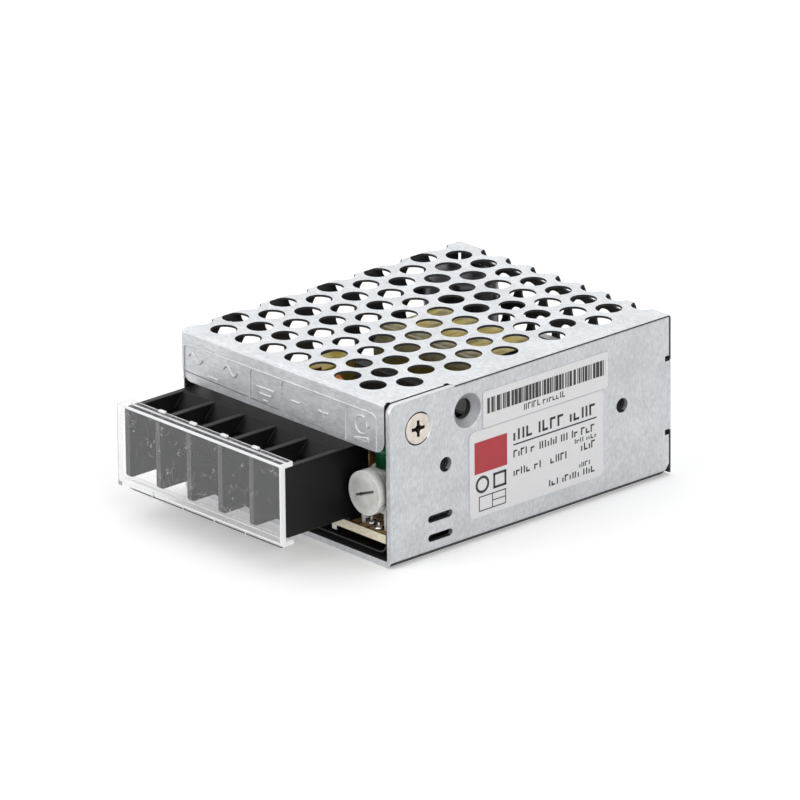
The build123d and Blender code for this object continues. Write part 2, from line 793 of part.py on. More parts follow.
def make_sticker(across, rise, corner):
    low, high = span(*across)
    face = Pos((low + high) / 2, (rise[0] + rise[1]) / 2) * RectangleRounded(
        high - low, rise[1] - rise[0], corner)
    return along_x(face, (half_width, half_width + sticker))


# Sizes and places of the small parts. A place counts from the case front, a back place from the
# back edge of the board, and an edge place from the side edge of the board that the part is near.

fuse_edge, fuse_place, fuse_radius, fuse_length = 2.7, 11.5, 1.8, 9.0
thermistor_edge, thermistor_place = 10.3, 8.2
thermistor_radius, thermistor_thick, thermistor_stand = 4.0, 3.2, 2.0
x_capacitor_edge, x_capacitor_place = 3.1, 26.7
x_capacitor_size, x_capacitor_corner = (5.5, 12.0, 11.0), 0.5
bridge_edge, bridge_back_place = 4.7, 17.15
bridge_across, bridge_along, bridge_high = 6.4, 8.4, 3.6
bulk_edge, bulk_back_place, bulk_radius, bulk_headroom = 6.5, 6.4, 6.25, 1.75
supply_edge, supply_back_place, supply_radius, supply_high = 15.3, 3.1, 2.5, 11.0
snubber_edge, snubber_back_place = 16.3, 8.8
snubber_size, snubber_corner = (3.0, 5.5, 7.0), 0.4
chip_x, chip_back_place = 10.4, 8.0
chip_across, chip_along, chip_high = 4.0, 6.8, 3.6
y_capacitor_edge, y_capacitor_back_place = 4.7, 11.0
y_capacitor_radius, y_capacitor_thick, y_capacitor_stand = 3.5, 2.6, 2.5
coupler_x, coupler_place = -1.0, 25.5
coupler_across, coupler_along, coupler_high = 6.4, 4.6, 3.5
output_edge, output_radius, output_high = 4.8, 4.0, 15.0
first_output_place, second_output_place = 24.2, 14.8
resistor_radius, resistor_length = 1.2, 6.0
primary_resistor_edge = 10.8
first_resistor_place, second_resistor_place = 25.9, 22.6
output_resistor_x, output_resistor_place = 8.0, 26.0
middle_resistor_place = 17.8


def make_small_parts():
    back = board_back
    add("fuse", axial(board_left + fuse_edge, fuse_place, fuse_radius, fuse_length, turned=True))
    add("inrush_thermistor", disc_part(
        board_left + thermistor_edge, thermistor_place,
        thermistor_radius, thermistor_thick, thermistor_stand))
    add("x_capacitor", boxed(
        board_left + x_capacitor_edge, x_capacitor_place, x_capacitor_size, x_capacitor_corner))
    add("bridge_rectifier", chip(
        board_left + bridge_edge, back - bridge_back_place, bridge_across, bridge_along, bridge_high))
    add("bulk_capacitor", can(
        board_left + bulk_edge, back - bulk_back_place, bulk_radius, wall_top - board_top - bulk_headroom))
    add("supply_capacitor", can(
        board_left + supply_edge, back - supply_back_place, supply_radius, supply_high))
    add("snubber_capacitor", boxed(
        board_left + snubber_edge, back - snubber_back_place, snubber_size, snubber_corner))
    add("control_chip", chip(chip_x, back - chip_back_place, chip_across, chip_along, chip_high))
    add("y_capacitor", disc_part(
        board_right - y_capacitor_edge, back - y_capacitor_back_place,
        y_capacitor_radius, y_capacitor_thick, y_capacitor_stand))
    add("optocoupler", chip(coupler_x, coupler_place, coupler_across, coupler_along, coupler_high))
    for number, place in ((1, first_output_place), (2, second_output_place)):
        add(f"output_capacitor_{number}", can(
            board_right - output_edge, place, output_radius, output_high))
    middle = (choke_x + choke_ring + choke_wire + inductor_x - drum_radius) / 2
    resistors = (
        (board_left + primary_resistor_edge, first_resistor_place, False),
        (output_resistor_x, output_resistor_place, False),
        (middle, middle_resistor_place, True),
        (board_left + primary_resistor_edge, second_resistor_place, False))
    for number, (x, place, turned) in enumerate(resistors, start=1):
        add(f"resistor_{number}", axial(x, place, resistor_radius, resistor_length, turned))


add("chassis", make_chassis())
add("mesh_cover", make_mesh_cover())
add("cover_screw", make_cover_screw())
add("insulation_film", make_insulation_film())
add("circuit_board", make_circuit_board())
add("board_screws", make_board_screws())
add("terminal_housing", make_terminal_housing())
add("terminal_plates", make_terminal_plates())
for number, centre in enumerate(way_centres(), start=1):
    add(f"wire_clamp_{number}", make_wire_clamp(centre))
    add(f"terminal_screw_{number}", make_terminal_screw(centre))
add("terminal_cover", make_terminal_cover())
add("trimmer_body", make_trimmer_body())
add("trimmer_dial", make_trimmer_dial())
add("indicator_led", make_indicator_led())
cores, taped_coil = make_transformer()
add("transformer_cores", cores)
add("transformer_winding", taped_coil)
add("transformer_bobbin", make_bobbin())
ring_core, ring_coil = make_choke()
add("choke_core", ring_core)
add("choke_windings", ring_coil)
drum_part, drum_coil = make_inductor()
add("inductor_core", drum_part)
add("inductor_winding", drum_coil)
make_power_parts()
make_small_parts()
barcode_rise = (case_height - barcode_drop[0], case_height - barcode_drop[1])
rating_rise = (rating_low, barcode_rise[0] - sticker_gap)
add("rating_label", make_sticker(rating_span, rating_rise, rating_corner))
add("barcode_label", make_sticker(barcode_span, barcode_rise, barcode_corner))

os.makedirs("parts", exist_ok=True)
for name, shape in parts.items():
    export_step(shape, f"parts/{name}.step")
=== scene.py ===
"""Finish, print and light of a mesh case switching power supply, around its fixed model.

Lengths are in millimetres until a helper turns them into metres. X runs across the front from
left to right, Y from the front to the back and Z up. The origin is the middle of the underside.
"""

import math
import random
from contextlib import contextmanager

import bpy
from mathutils import Matrix, Vector


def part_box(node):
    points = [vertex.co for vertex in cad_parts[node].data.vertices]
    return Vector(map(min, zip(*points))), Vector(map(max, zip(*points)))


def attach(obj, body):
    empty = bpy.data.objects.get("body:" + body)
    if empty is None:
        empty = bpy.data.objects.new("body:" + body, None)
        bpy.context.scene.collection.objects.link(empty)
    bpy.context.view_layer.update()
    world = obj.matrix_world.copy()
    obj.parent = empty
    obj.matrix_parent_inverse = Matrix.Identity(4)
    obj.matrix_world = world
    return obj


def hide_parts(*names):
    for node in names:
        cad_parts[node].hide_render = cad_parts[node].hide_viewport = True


bl_info = {
    "name": "Mesh case power supply",
    "version": (1, 0, 0),
    "blender": (4, 5, 0),
    "location": "View3D > Sidebar > Supply",
    "description": "Sheet metal, mouldings, print and light of a small mesh case power supply",
    "category": "Object",
}

MM = 0.001
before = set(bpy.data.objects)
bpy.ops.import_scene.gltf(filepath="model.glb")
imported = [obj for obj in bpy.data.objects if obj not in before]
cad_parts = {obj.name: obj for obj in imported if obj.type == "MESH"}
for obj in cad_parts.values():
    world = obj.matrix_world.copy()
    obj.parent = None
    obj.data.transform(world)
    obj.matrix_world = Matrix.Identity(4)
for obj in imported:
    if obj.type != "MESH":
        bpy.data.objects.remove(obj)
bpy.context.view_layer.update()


def span_of(node):
    """Lowest and highest corner of a node, in millimetres."""
    low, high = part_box(node)
    return low / MM, high / MM


cover_low, cover_high = span_of("mesh_cover")
chassis_low, chassis_high = span_of("chassis")
block_low = span_of("terminal_housing")[0]
lid_low, lid_high = span_of("terminal_cover")
board_high = span_of("circuit_board")[1]
dial_low, dial_high = span_of("trimmer_dial")
lamp_low, lamp_high = span_of("indicator_led")
rating_low, rating_high = span_of("rating_label")
barcode_low, barcode_high = span_of("barcode_label")
coil_low = span_of("transformer_winding")[0]

FRONT = cover_low.y
BACK = cover_high.y
HALF = cover_high.x
TOP = cover_high.z

# Cover sheet
COVER_SHEET = 0.4
COVER_BEND = 0.6
BEND_STEPS = 6
SEAM = 0.1
FLANGE_SIDES = (-25.0, 24.1)
FLANGE_LOW = 19.2
FLANGE_CORNER = 2.2
TAB_FACE = 24.4
TAB_SPAN = (1.3, 13.2)
TAB_LOW = 17.5
TAB_CORNER = 1.0
TAB_ZONE = 14.1
COLLAR_WALL = 0.85
COLLAR_LONG = 1.1
TONGUE = (8.0, 20.0)

# Punched pattern
HOLE_MARGIN = 5.5
FIRST_ROW = 4.8
BACK_ROWS = 3
WALL_COLUMNS = 3
HOLES_ACROSS = 7
TOP_ROWS = 12
PUNCH_SIDES = 28

# Cover screw and the dimpled hole beside it, as distance from the front and height
SCREW_PLACE = (6.2, 22.6)
DIMPLE_PLACE = (17.0, 22.9)
DIMPLE_RADIUS = 3.0
SCREW_HEAD = 2.6
M3_RADIUS = 1.5
M3_PITCH = 0.5

# Terminals
WAY_PITCH = 7.62
WAYS = 5
FIN = 1.2
FIN_BOTTOM = 6.1
FIN_HEEL = 3.0                   # size of the patch that squares a fin's lower front corner
FIN_HEEL_ROUND = 0.6
MOULD_ROUND = 0.14
TERMINAL_HEIGHT = 12.0
HEAD_RADIUS = 2.9
HEAD_HIGH = 2.3
HEAD_ROUND = 0.75
HEAD_SLOT_HALF, HEAD_SLOT_DEEP = 0.4, 1.05
HEAD_UNDER = -6.1                # behind the front face of the case
SHANK_BACK = 2.0
SHANK_RADIUS = 1.75
THREAD_PITCH = 0.6


class SheetSizes(bpy.types.PropertyGroup):
    hole_radius: bpy.props.FloatProperty(
        name="Hole radius", description="Radius of the punched round holes",
        default=2.25 * MM, unit="LENGTH")
    hole_pitch: bpy.props.FloatProperty(
        name="Hole pitch", description="Distance between neighbouring punched holes",
        default=6.05 * MM, unit="LENGTH")
    edge_wear: bpy.props.FloatProperty(
        name="Edge wear", description="Width of the rounded rim along cut sheet edges",
        default=0.08 * MM, unit="LENGTH")
    emboss: bpy.props.FloatProperty(
        name="Emboss height", description="Height of the raised signs on the front flange",
        default=0.2 * MM, unit="LENGTH")


class FinishColours(bpy.types.PropertyGroup):
    zinc: bpy.props.FloatVectorProperty(
        name="Zinc", description="Colour of the zinc coated sheet",
        subtype="COLOR", default=(0.555, 0.57, 0.59), min=0, max=1)
    moulding: bpy.props.FloatVectorProperty(
        name="Moulding", description="Colour of the black terminal block",
        subtype="COLOR", default=(0.004, 0.004, 0.0045), min=0, max=1)
    sticker: bpy.props.FloatVectorProperty(
        name="Sticker", description="Colour of the label stock",
        subtype="COLOR", default=(0.78, 0.78, 0.79), min=0, max=1)
    ink: bpy.props.FloatVectorProperty(
        name="Ink", description="Colour of the printed rules and bars",
        subtype="COLOR", default=(0.018, 0.018, 0.02), min=0, max=1)
    block: bpy.props.FloatVectorProperty(
        name="Colour block", description="Colour of the plain block on the rating label",
        subtype="COLOR", default=(0.42, 0.02, 0.03), min=0, max=1)
    tape: bpy.props.FloatVectorProperty(
        name="Tape", description="Colour of the transformer tape",
        subtype="COLOR", default=(0.66, 0.52, 0.10), min=0, max=1)
    lamp: bpy.props.FloatVectorProperty(
        name="Lamp", description="Colour of the indicator lamp",
        subtype="COLOR", default=(0.01, 0.20, 0.07), min=0, max=1)


class StageSettings(bpy.types.PropertyGroup):
    azimuth: bpy.props.FloatProperty(
        name="Azimuth", description="Turn of the camera round the object",
        default=math.radians(47.788), subtype="ANGLE")
    elevation: bpy.props.FloatProperty(
        name="Elevation", description="Height of the camera as an angle",
        default=math.radians(20.426), subtype="ANGLE")
    roll: bpy.props.FloatProperty(
        name="Roll", description="Turn of the camera about its own axis",
        default=math.radians(-0.583), subtype="ANGLE")
    lens: bpy.props.FloatProperty(
        name="Lens", description="Focal length on a 36 mm sensor",
        default=417.8, subtype="DISTANCE_CAMERA")
    key_power: bpy.props.FloatProperty(
        name="Key power", description="Power of the large overhead panel",
        default=11.5, unit="POWER")
    room: bpy.props.FloatProperty(
        name="Room light", description="Strength of the even light from all around",
        default=0.26, min=0)


# Helpers for shapes


def use(piece):
    """Make a piece the only selected one and the active one."""
    bpy.ops.object.select_all(action="DESELECT")
    piece.select_set(True)
    bpy.context.view_layer.objects.active = piece
    return piece


def placed(name):
    """Name the new primitive and put its place, turn and size into its mesh."""
    piece = bpy.context.object
    piece.name = name
    piece.data.name = name
    bpy.ops.object.transform_apply(location=True, rotation=True, scale=True)
    return piece


def in_metres(point):
    return Vector(point) * MM


def box(name, x, y, z):
    """Box between two places along each axis."""
    middle = in_metres(((x[0] + x[1]) / 2, (y[0] + y[1]) / 2, (z[0] + z[1]) / 2))
    size = in_metres((x[1] - x[0], y[1] - y[0], z[1] - z[0]))
    bpy.ops.mesh.primitive_cube_add(size=1, location=middle, scale=size)
    return placed(name)


TURNS = {"X": (0, math.pi / 2, 0), "Y": (math.pi / 2, 0, 0), "Z": (0, 0, 0)}


def rod(name, axis, centre, radius, length, sides=48):
    """Cylinder along an axis, about its centre."""
    bpy.ops.mesh.primitive_cylinder_add(
        vertices=sides, radius=radius * MM, depth=length * MM,
        location=in_metres(centre), rotation=TURNS[axis])
    return placed(name)


def panel(name, axis, place, first, second):
    """Flat rectangle across an axis. The two spans follow the other two axes in order."""
    spans = {"X": (None, first, second), "Y": (first, None, second), "Z": (first, second, None)}[axis]
    centre = in_metres([place if one is None else (one[0] + one[1]) / 2 for one in spans])
    wide, deep = first[1] - first[0], second[1] - second[0]
    size = (deep, wide, 1) if axis == "X" else (wide, deep, 1)
    bpy.ops.mesh.primitive_plane_add(size=MM, location=centre, rotation=TURNS[axis])
    bpy.context.object.scale = size
    return placed(name)


def edge_middle(mesh, edge):
    first, second = (mesh.vertices[number].co for number in edge.vertices)
    return (first + second) / 2


@contextmanager
def edit(piece, kind="FACE", test=None):
    """Edit mode with only those vertices, edges or faces selected whose middle passes the test."""
    use(piece)
    mesh = piece.data
    for group in (mesh.vertices, mesh.edges, mesh.polygons):
        group.foreach_set("select", [test is None] * len(group))
    bpy.context.tool_settings.mesh_select_mode = [kind == one for one in ("VERT", "EDGE", "FACE")]
    if test is not None:
        if kind == "VERT":
            chosen = [one for one in mesh.vertices if test(one.co / MM)]
        elif kind == "EDGE":
            chosen = [one for one in mesh.edges if test(edge_middle(mesh, one) / MM)]
        else:
            chosen = [one for one in mesh.polygons if test(one.center / MM)]
        for one in chosen:
            one.select = True
    bpy.ops.object.mode_set(mode="EDIT")
    yield
    bpy.ops.object.mode_set(mode="OBJECT")


def modify(piece, kind, **settings):
    """Add a modifier, set it and apply it."""
    use(piece)
    bpy.ops.object.modifier_add(type=kind)
    modifier = piece.modifiers[-1]
    for key, value in settings.items():
        setattr(modifier, key, value)
    bpy.ops.object.modifier_apply(modifier=modifier.name)
    return piece


def rounded(piece, width, steps=2, angle=35.0):
    """Round every edge that is sharper than the angle."""
    return modify(piece, "BEVEL", width=width * MM, segments=steps, limit_method="ANGLE",
                  angle_limit=math.radians(angle), use_clamp_overlap=False)


def combine(piece, other, operation="DIFFERENCE"):
    """Cut another shape out of a piece, or add it."""
    modify(piece, "BOOLEAN", object=other, operation=operation, solver="MANIFOLD")
    bpy.data.objects.remove(other)
    return piece


def joined(name, pieces):
    """One piece of several separate shells."""
    use(pieces[0])
    for piece in pieces:
        piece.select_set(True)
    if len(pieces) > 1:
        bpy.ops.object.join()
    piece = bpy.context.object
    piece.name = name
    piece.data.name = name
    return piece


def merged(piece, reach=0.0005):
    """Weld doubled points, turn the faces outwards and join flat neighbours."""
    with edit(piece):
        bpy.ops.mesh.remove_doubles(threshold=reach * MM)
        bpy.ops.mesh.normals_make_consistent(inside=False)
        bpy.ops.mesh.dissolve_limited(angle_limit=math.radians(0.4))
    return piece


def smooth(piece, angle=32.0):
    """Smooth shading in which flat faces stay flat up to their rounded edges."""
    use(piece)
    bpy.ops.object.shade_smooth_by_angle(angle=math.radians(angle))
    return modify(piece, "WEIGHTED_NORMAL", weight=100, keep_sharp=True)


def mark(piece, name, test):
    """Store what the test says of each face, from its middle and normal, for the material to read."""
    layer = piece.data.attributes.new(name, "FLOAT", "FACE")
    layer.data.foreach_set("value", [
        float(test(face.center / MM, face.normal)) for face in piece.data.polygons])
    return piece


def twin(original, name):
    """Copy of a piece with a mesh of its own."""
    piece = original.copy()
    piece.data = original.data.copy()
    piece.name = name
    piece.data.name = name
    bpy.context.scene.collection.objects.link(piece)
    return use(piece)


def moved(pattern, name, step):
    """Copy of a pattern, moved by a step."""
    twin(pattern, name).location = in_metres(step)
    return placed(name)


def spread(pattern, steps):
    """Copies of a pattern, one for each step, in the pattern's stead."""
    made = [moved(pattern, pattern.name, step) for step in steps]
    bpy.data.objects.remove(pattern)
    return made


def copied(node, name):
    """Welded copy of a node."""
    piece = twin(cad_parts[node], name)
    for key in list(piece.keys()):
        del piece[key]
    piece.parent = None
    bpy.ops.mesh.customdata_custom_splitnormals_clear()
    return merged(piece)


def softened(node, name, width, steps=2, angle=35.0):
    """Copy of a node with its hard edges rounded."""
    return rounded(copied(node, name), width, steps, angle)


def settle(piece, body, material, slot, *nodes, angle=32.0):
    """Shade a finished piece, give it its material and let it ride on its body."""
    smooth(piece, angle)
    piece.data.materials.clear()
    piece.data.materials.append(material)
    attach(piece, body)
    if nodes:
        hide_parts(*nodes)
    return piece


def thread(name, axis, centre, radius, depth, length, pitch, inside=False):
    """Helical ridge along an axis, starting at a centre."""
    reach = -depth if inside else depth
    bpy.ops.mesh.primitive_circle_add(
        vertices=3, radius=depth * MM, location=in_metres((radius + reach / 2, 0, 0)),
        rotation=(math.pi / 2, 0, 0))
    ridge = placed(name)
    turns = int(length / pitch)
    modify(ridge, "SCREW", angle=2 * math.pi, screw_offset=pitch * MM, iterations=turns,
           steps=24, render_steps=24, axis="Z")
    with edit(ridge):
        bpy.ops.mesh.fill_holes(sides=3)
        bpy.ops.mesh.normals_make_consistent(inside=False)
    use(ridge)
    ridge.rotation_euler = TURNS[axis]
    ridge.location = in_metres(centre)
    bpy.ops.object.transform_apply(location=True, rotation=True, scale=True)
    return ridge


def stroke(name, points, width):
    """Round wire through a list of points, as a mesh."""
    curve = bpy.data.curves.new(name, "CURVE")
    curve.dimensions = "3D"
    curve.bevel_depth = width / 2 * MM
    curve.bevel_resolution = 2
    curve.use_fill_caps = True
    line = curve.splines.new("POLY")
    line.points.add(len(points) - 1)
    for spot, point in zip(line.points, points):
        spot.co = (*in_metres(point), 1)
    piece = bpy.data.objects.new(name, curve)
    bpy.context.scene.collection.objects.link(piece)
    use(piece)
    bpy.ops.object.convert(target="MESH")
    return bpy.context.object


# Helpers for materials


def maths(operation, swapped=False):
    """A method that puts a Math node behind one of Python's operators."""
    def method(wire, other):
        pair = (other, wire) if swapped else (wire, other)
        return wire.paint.node("ShaderNodeMath", {"operation": operation}, dict(enumerate(pair)))
    return method


class Wire:
    """An output socket that takes part in sums with numbers and other outputs."""

    def __init__(self, paint, socket):
        self.paint = paint
        self.socket = socket

    __add__, __radd__ = maths("ADD"), maths("ADD", True)
    __sub__, __rsub__ = maths("SUBTRACT"), maths("SUBTRACT", True)
    __mul__, __rmul__ = maths("MULTIPLY"), maths("MULTIPLY", True)
    __lt__, __gt__ = maths("LESS_THAN"), maths("GREATER_THAN")
    __mod__ = maths("FLOORED_MODULO")
    highest = maths("MAXIMUM")

    def ramp(self, low, high):
        """0 below low, 1 above high and a smooth rise between them."""
        return self.paint.node(
            "ShaderNodeMapRange", {"interpolation_type": "SMOOTHSTEP"}, {0: self, 1: low, 2: high})

    def part(self, name):
        """X, Y or Z of a vector, or the channels of a colour."""
        return self.paint.node("ShaderNodeSeparateXYZ", {}, {0: self}, output="XYZ".index(name))


class Paint:
    """The node tree of one material."""

    def __init__(self, name, **constants):
        self.material = bpy.data.materials.new(name)
        self.material.use_nodes = True
        self.tree = self.material.node_tree
        self.shader = self.tree.nodes["Principled BSDF"]
        for socket, value in constants.items():
            self.fill(self.shader.inputs[socket.replace("_", " ")], value)
        self.place = self.node("ShaderNodeVectorMath", {"operation": "SCALE"}, {
            0: self.node("ShaderNodeTexCoord", output="Object"), "Scale": 1 / MM})

    @staticmethod
    def fill(socket, value):
        """Set an unlinked socket. Colours are given as three parts."""
        socket.default_value = (*value, 1) if socket.type == "RGBA" else value

    def node(self, kind, settings=None, inputs=None, output=0):
        """Add a node, set it, fill its sockets and give back one of its outputs."""
        made = self.tree.nodes.new(kind)
        for key, value in (settings or {}).items():
            setattr(made, key, value)
        for key, value in (inputs or {}).items():
            if isinstance(value, Wire):
                self.tree.links.new(value.socket, made.inputs[key])
            else:
                self.fill(made.inputs[key], value)
        return Wire(self, made.outputs[output])

    def mix(self, factor, first, second):
        """A colour between two colours."""
        return self.node("ShaderNodeMix", {"data_type": "RGBA"}, {0: factor, 6: first, 7: second}, output=2)

    def stretched(self, scale):
        """Places on the object, in millimetres, drawn out along the axes."""
        return self.node("ShaderNodeVectorMath", {"operation": "MULTIPLY"}, {0: self.place, 1: scale})

    def noise(self, scale, detail=2.0, place=None, rough=0.5):
        return self.node("ShaderNodeTexNoise", {}, {
            "Vector": place or self.place, "Scale": scale, "Detail": detail, "Roughness": rough})

    def cells(self, scale, place=None):
        """A random number for each crystal of a surface."""
        return self.node("ShaderNodeTexVoronoi", {}, {
            "Vector": place or self.place, "Scale": scale}, output="Color").part("X")

    def marked(self, name):
        """The value that mark() stored on the faces."""
        return self.node("ShaderNodeAttribute", {"attribute_name": name}, output="Fac")

    def bump(self, height):
        """Height in millimetres as a normal."""
        return self.node("ShaderNodeBump", {}, {"Strength": 1.0, "Distance": MM, "Height": height})

    def set(self, **links):
        """Link wires to the shader's own sockets."""
        for socket, wire in links.items():
            self.tree.links.new(wire.socket, self.shader.inputs[socket.replace("_", " ")])
        return self.material


def zinc(name, colour, grain=(1.0, 1.0, 1.0)):
    """Zinc coated sheet: soft clouds, a fine light grain, a few dark specks, and painted shade that turns
    marked faces near black.
    """
    paint = Paint(name)
    cloud = paint.noise(0.16, 3.0)
    spangle = paint.cells(1.5)
    fine = paint.noise(3.6, 3.0, paint.stretched(grain))
    speck = paint.noise(2.3, 4.0, rough=0.7).ramp(0.68, 0.76)
    # Painted shade: faces marked as lying in shade (inside the case, in holes and in gaps) are painted near
    # black and made less metallic.
    inner_shade = paint.marked("inner_shade")
    tone = cloud * 0.45 + spangle * 0.12 + fine * 0.8
    light = tuple(min(1.0, part * 1.15) for part in colour)
    dark = tuple(part * 0.86 for part in colour)
    base = paint.mix(tone.ramp(0.40, 0.97), dark, light)
    base = paint.mix(speck * 0.4, base, (0.20, 0.195, 0.19))
    base = paint.mix(inner_shade, base, (0.035, 0.035, 0.037))
    height = fine * 0.010 + cloud * 0.03 + spangle * 0.001
    rough = 0.42 + spangle * 0.04 + fine * 0.12 + speck * 0.2 + inner_shade * 0.2
    return paint.set(Base_Color=base, Roughness=rough, Metallic=0.82 - inner_shade * 0.5,
                     Normal=paint.bump(height))


def satin(name, colour, rough=0.42, grain=1.6, depth=0.008, mottle=0.12, **constants):
    """Moulded plastic with a fine spark eroded grain, greyer where it is scuffed, and lighter on marked
    faces by painted highlight.
    """
    paint = Paint(name, **constants)
    fine = paint.noise(grain, 3.0)
    cloud = paint.noise(0.15, 2.0)
    light = tuple(min(1.0, part * (1 + 2 * mottle)) for part in colour)
    dark = tuple(part * (1 - mottle) for part in colour)
    base = paint.mix(cloud * 0.6 + fine * 0.4, dark, light)
    scuff = paint.noise(0.9, 4.0, paint.stretched((1.0, 0.25, 2.2)), rough=0.65).ramp(0.62, 0.80)
    # Painted highlight on the marked faces, joined with real scuffs, lightens the black towards grey.
    sheen_and_scuff = (paint.marked("sheen_and_scuff") * 0.22).highest(scuff * 0.03)
    return paint.set(Base_Color=paint.mix(sheen_and_scuff, base, (0.32, 0.32, 0.33)),
                     Roughness=rough + cloud * 0.1 + scuff * 0.08 - 0.05,
                     Normal=paint.bump(fine * depth))


def plated(name, colour, rough=0.2):
    """Nickel or tin plated metal with faint stains, and painted shade at the bottom of a driver's recess.
    """
    paint = Paint(name)
    recess = paint.marked("recess")
    fine = paint.noise(4.0, 3.0)
    stain = paint.noise(0.7, 3.0).ramp(0.45, 0.8)
    dark = tuple(part * 0.62 for part in colour)
    base = paint.mix(stain * 0.5 + fine * 0.15, colour, dark)
    # Painted shade: marked recess faces are painted near black, rougher and less metallic.
    return paint.set(Base_Color=paint.mix(recess, base, (0.025, 0.018, 0.014)),
                     Roughness=rough + fine * 0.12 + stain * 0.08 + recess * 0.3,
                     Metallic=1 - recess * 0.8, Normal=paint.bump(fine * 0.004))


def clear_plastic(name):
    """Clear moulded sheet: a thin white veil of painted reflection, painted highlights on its white edges,
    painted shade and painted highlight lines along the lower corner, a few long scratches and dust."""
    paint = Paint(name, IOR=1.46)
    x, z = paint.place.part("X"), paint.place.part("Z")
    front = paint.marked("panel") * (paint.place.part("Y") < lid_low.y + LID_FACE)
    # Painted shade: a dark line along the lower front edge, a dark patch in the lower left corner and a
    # faint dark line at the left end.
    shade = (z < lid_low.z + 0.34) * x.ramp(lid_low.x + 2.5, lid_low.x + 4)
    corner = (x < lid_low.x + 1.1) * (z < lid_low.z + 0.8) * 0.75
    shade = front * shade.highest(corner).highest((x < lid_low.x + 0.2) * 0.4)
    # Painted highlight: a white line a little above the lower front edge.
    glow = front * (z > lid_low.z + 0.55) * (z < lid_low.z + 0.85) * 0.9
    wander = paint.noise(0.42, 2.0) - 0.5
    line = 1 - wander.highest(wander * -1).ramp(0.002, 0.007)
    scratch = line * paint.noise(0.5, 1.0, paint.stretched((1.0, 1.0, 0.7))).ramp(0.56, 0.62)
    dust = paint.noise(3.0, 2.0).ramp(0.74, 0.78)
    # The 0.085 floor of the veil is painted reflection, a faint white film over the whole sheet; the
    # scratches and dust are real marks.
    veil = (scratch * 0.6).highest(dust * 0.5).highest(0.085)
    return paint.set(Base_Color=paint.mix(shade, (0.93, 0.935, 0.95), (0.02, 0.02, 0.025)),
                     Alpha=paint.marked("edge_glare").highest(shade).highest(glow).highest(veil) * 0.93,
                     Roughness=scratch * 0.2 + 0.05)


def milky_plastic(name):
    paint = Paint(name, Subsurface_Weight=0.65, Subsurface_Scale=0.0012, IOR=1.5,
                  Subsurface_Radius=(1.0, 0.95, 0.85))
    cloud = paint.noise(0.5, 3.0)
    base = paint.mix(cloud.ramp(0.3, 0.7), (0.66, 0.665, 0.63), (0.84, 0.84, 0.81))
    # Painted shade: the marked faces in the dial's slot are painted dark.
    return paint.set(Base_Color=paint.mix(paint.marked("recess") * 0.8, base, (0.10, 0.10, 0.09)),
                     Roughness=0.30 + cloud * 0.16, Normal=paint.bump(paint.noise(1.3, 2.0) * 0.02))


def green_lens(name, colour):
    paint = Paint(name, IOR=1.53)
    paint.shader.inputs["Transmission Weight"].default_value = 0.55
    # Painted highlight: the lens is painted lighter towards the top of its dome.
    depth = paint.place.part("Z").ramp(lamp_low.z + 7.5, lamp_high.z)
    light = tuple(min(1.0, part * 2.2 + 0.01) for part in colour)
    return paint.set(Base_Color=paint.mix(depth, colour, light), Roughness=depth * 0.04 + 0.05)


def black_film(name):
    paint = Paint(name)
    sag = paint.noise(0.2, 2.0)
    return paint.set(Base_Color=paint.mix(sag, (0.006, 0.006, 0.007), (0.014, 0.014, 0.016)),
                     Roughness=0.12 + sag * 0.12, Normal=paint.bump(sag * 0.15))


def phenolic_board(name):
    """Brown laminate with dark tracks on its faces and a pale cut edge with fibres."""
    paint = Paint(name)
    edge = paint.marked("edge")
    fibre = paint.noise(2.5, 4.0, paint.stretched((0.4, 0.4, 5.0)))
    cut = paint.mix(fibre.ramp(0.3, 0.7), (0.72, 0.60, 0.36), (1.0, 0.97, 0.84))
    x, y = paint.place.part("X"), paint.place.part("Y")
    wander = paint.noise(0.35, 1.0) * 1.6
    across = ((x + wander) % 2.54).ramp(1.75, 1.9)
    along = ((y + wander) % 2.3).ramp(1.6, 1.75)
    track = across.highest(along)
    laminate = paint.mix(paint.noise(1.8, 3.0), (0.34, 0.17, 0.05), (0.52, 0.31, 0.11))
    top = paint.mix(track * 0.85, laminate, (0.05, 0.03, 0.015))
    return paint.set(Base_Color=paint.mix(edge, top, cut), Roughness=0.40 + edge * 0.22,
                     Normal=paint.bump(track * 0.04 + fibre * 0.02))


def tape_film(name, colour):
    """Shiny yellow film tape in overlapping turns with darker seams, wrinkled, and darkened by painted
    shade at the front.
    """
    paint = Paint(name, Coat_Roughness=0.08)
    x = paint.place.part("X")
    turn = (x % 5.2).ramp(4.9, 5.1)
    wrinkle = paint.noise(0.55, 4.0, paint.stretched((1.0, 0.35, 0.35)), rough=0.6)
    deep = tuple(part * 0.55 for part in colour)
    light = tuple(min(1.0, part * 1.35) for part in colour)
    base = paint.mix(wrinkle.ramp(0.3, 0.65), deep, light)
    # Painted shade: the front end of the winding is darkened nearly to black, the same dark colour as the
    # seams.
    out_of_front_shade = (paint.place.part("Y") + wrinkle * 3).ramp(coil_low.y + 3, coil_low.y + 9)
    shade_and_seam_colour = tuple(part * 0.12 for part in colour)
    base = paint.mix((turn * 0.5).highest(0.85 - out_of_front_shade * 0.85), base, shade_and_seam_colour)
    return paint.set(Base_Color=base, Roughness=0.22 + wrinkle * 0.2,
                     Coat_Weight=0.35 + wrinkle * 0.3, Normal=paint.bump(wrinkle * 0.16 + turn * 0.05))


def label_stock(name, colour):
    paint = Paint(name)
    fibre = paint.noise(1.2, 3.0)
    dark = tuple(part * 0.93 for part in colour)
    return paint.set(Base_Color=paint.mix(fibre, dark, colour), Roughness=0.34 + fibre * 0.1,
                     Normal=paint.bump(fibre * 0.006))


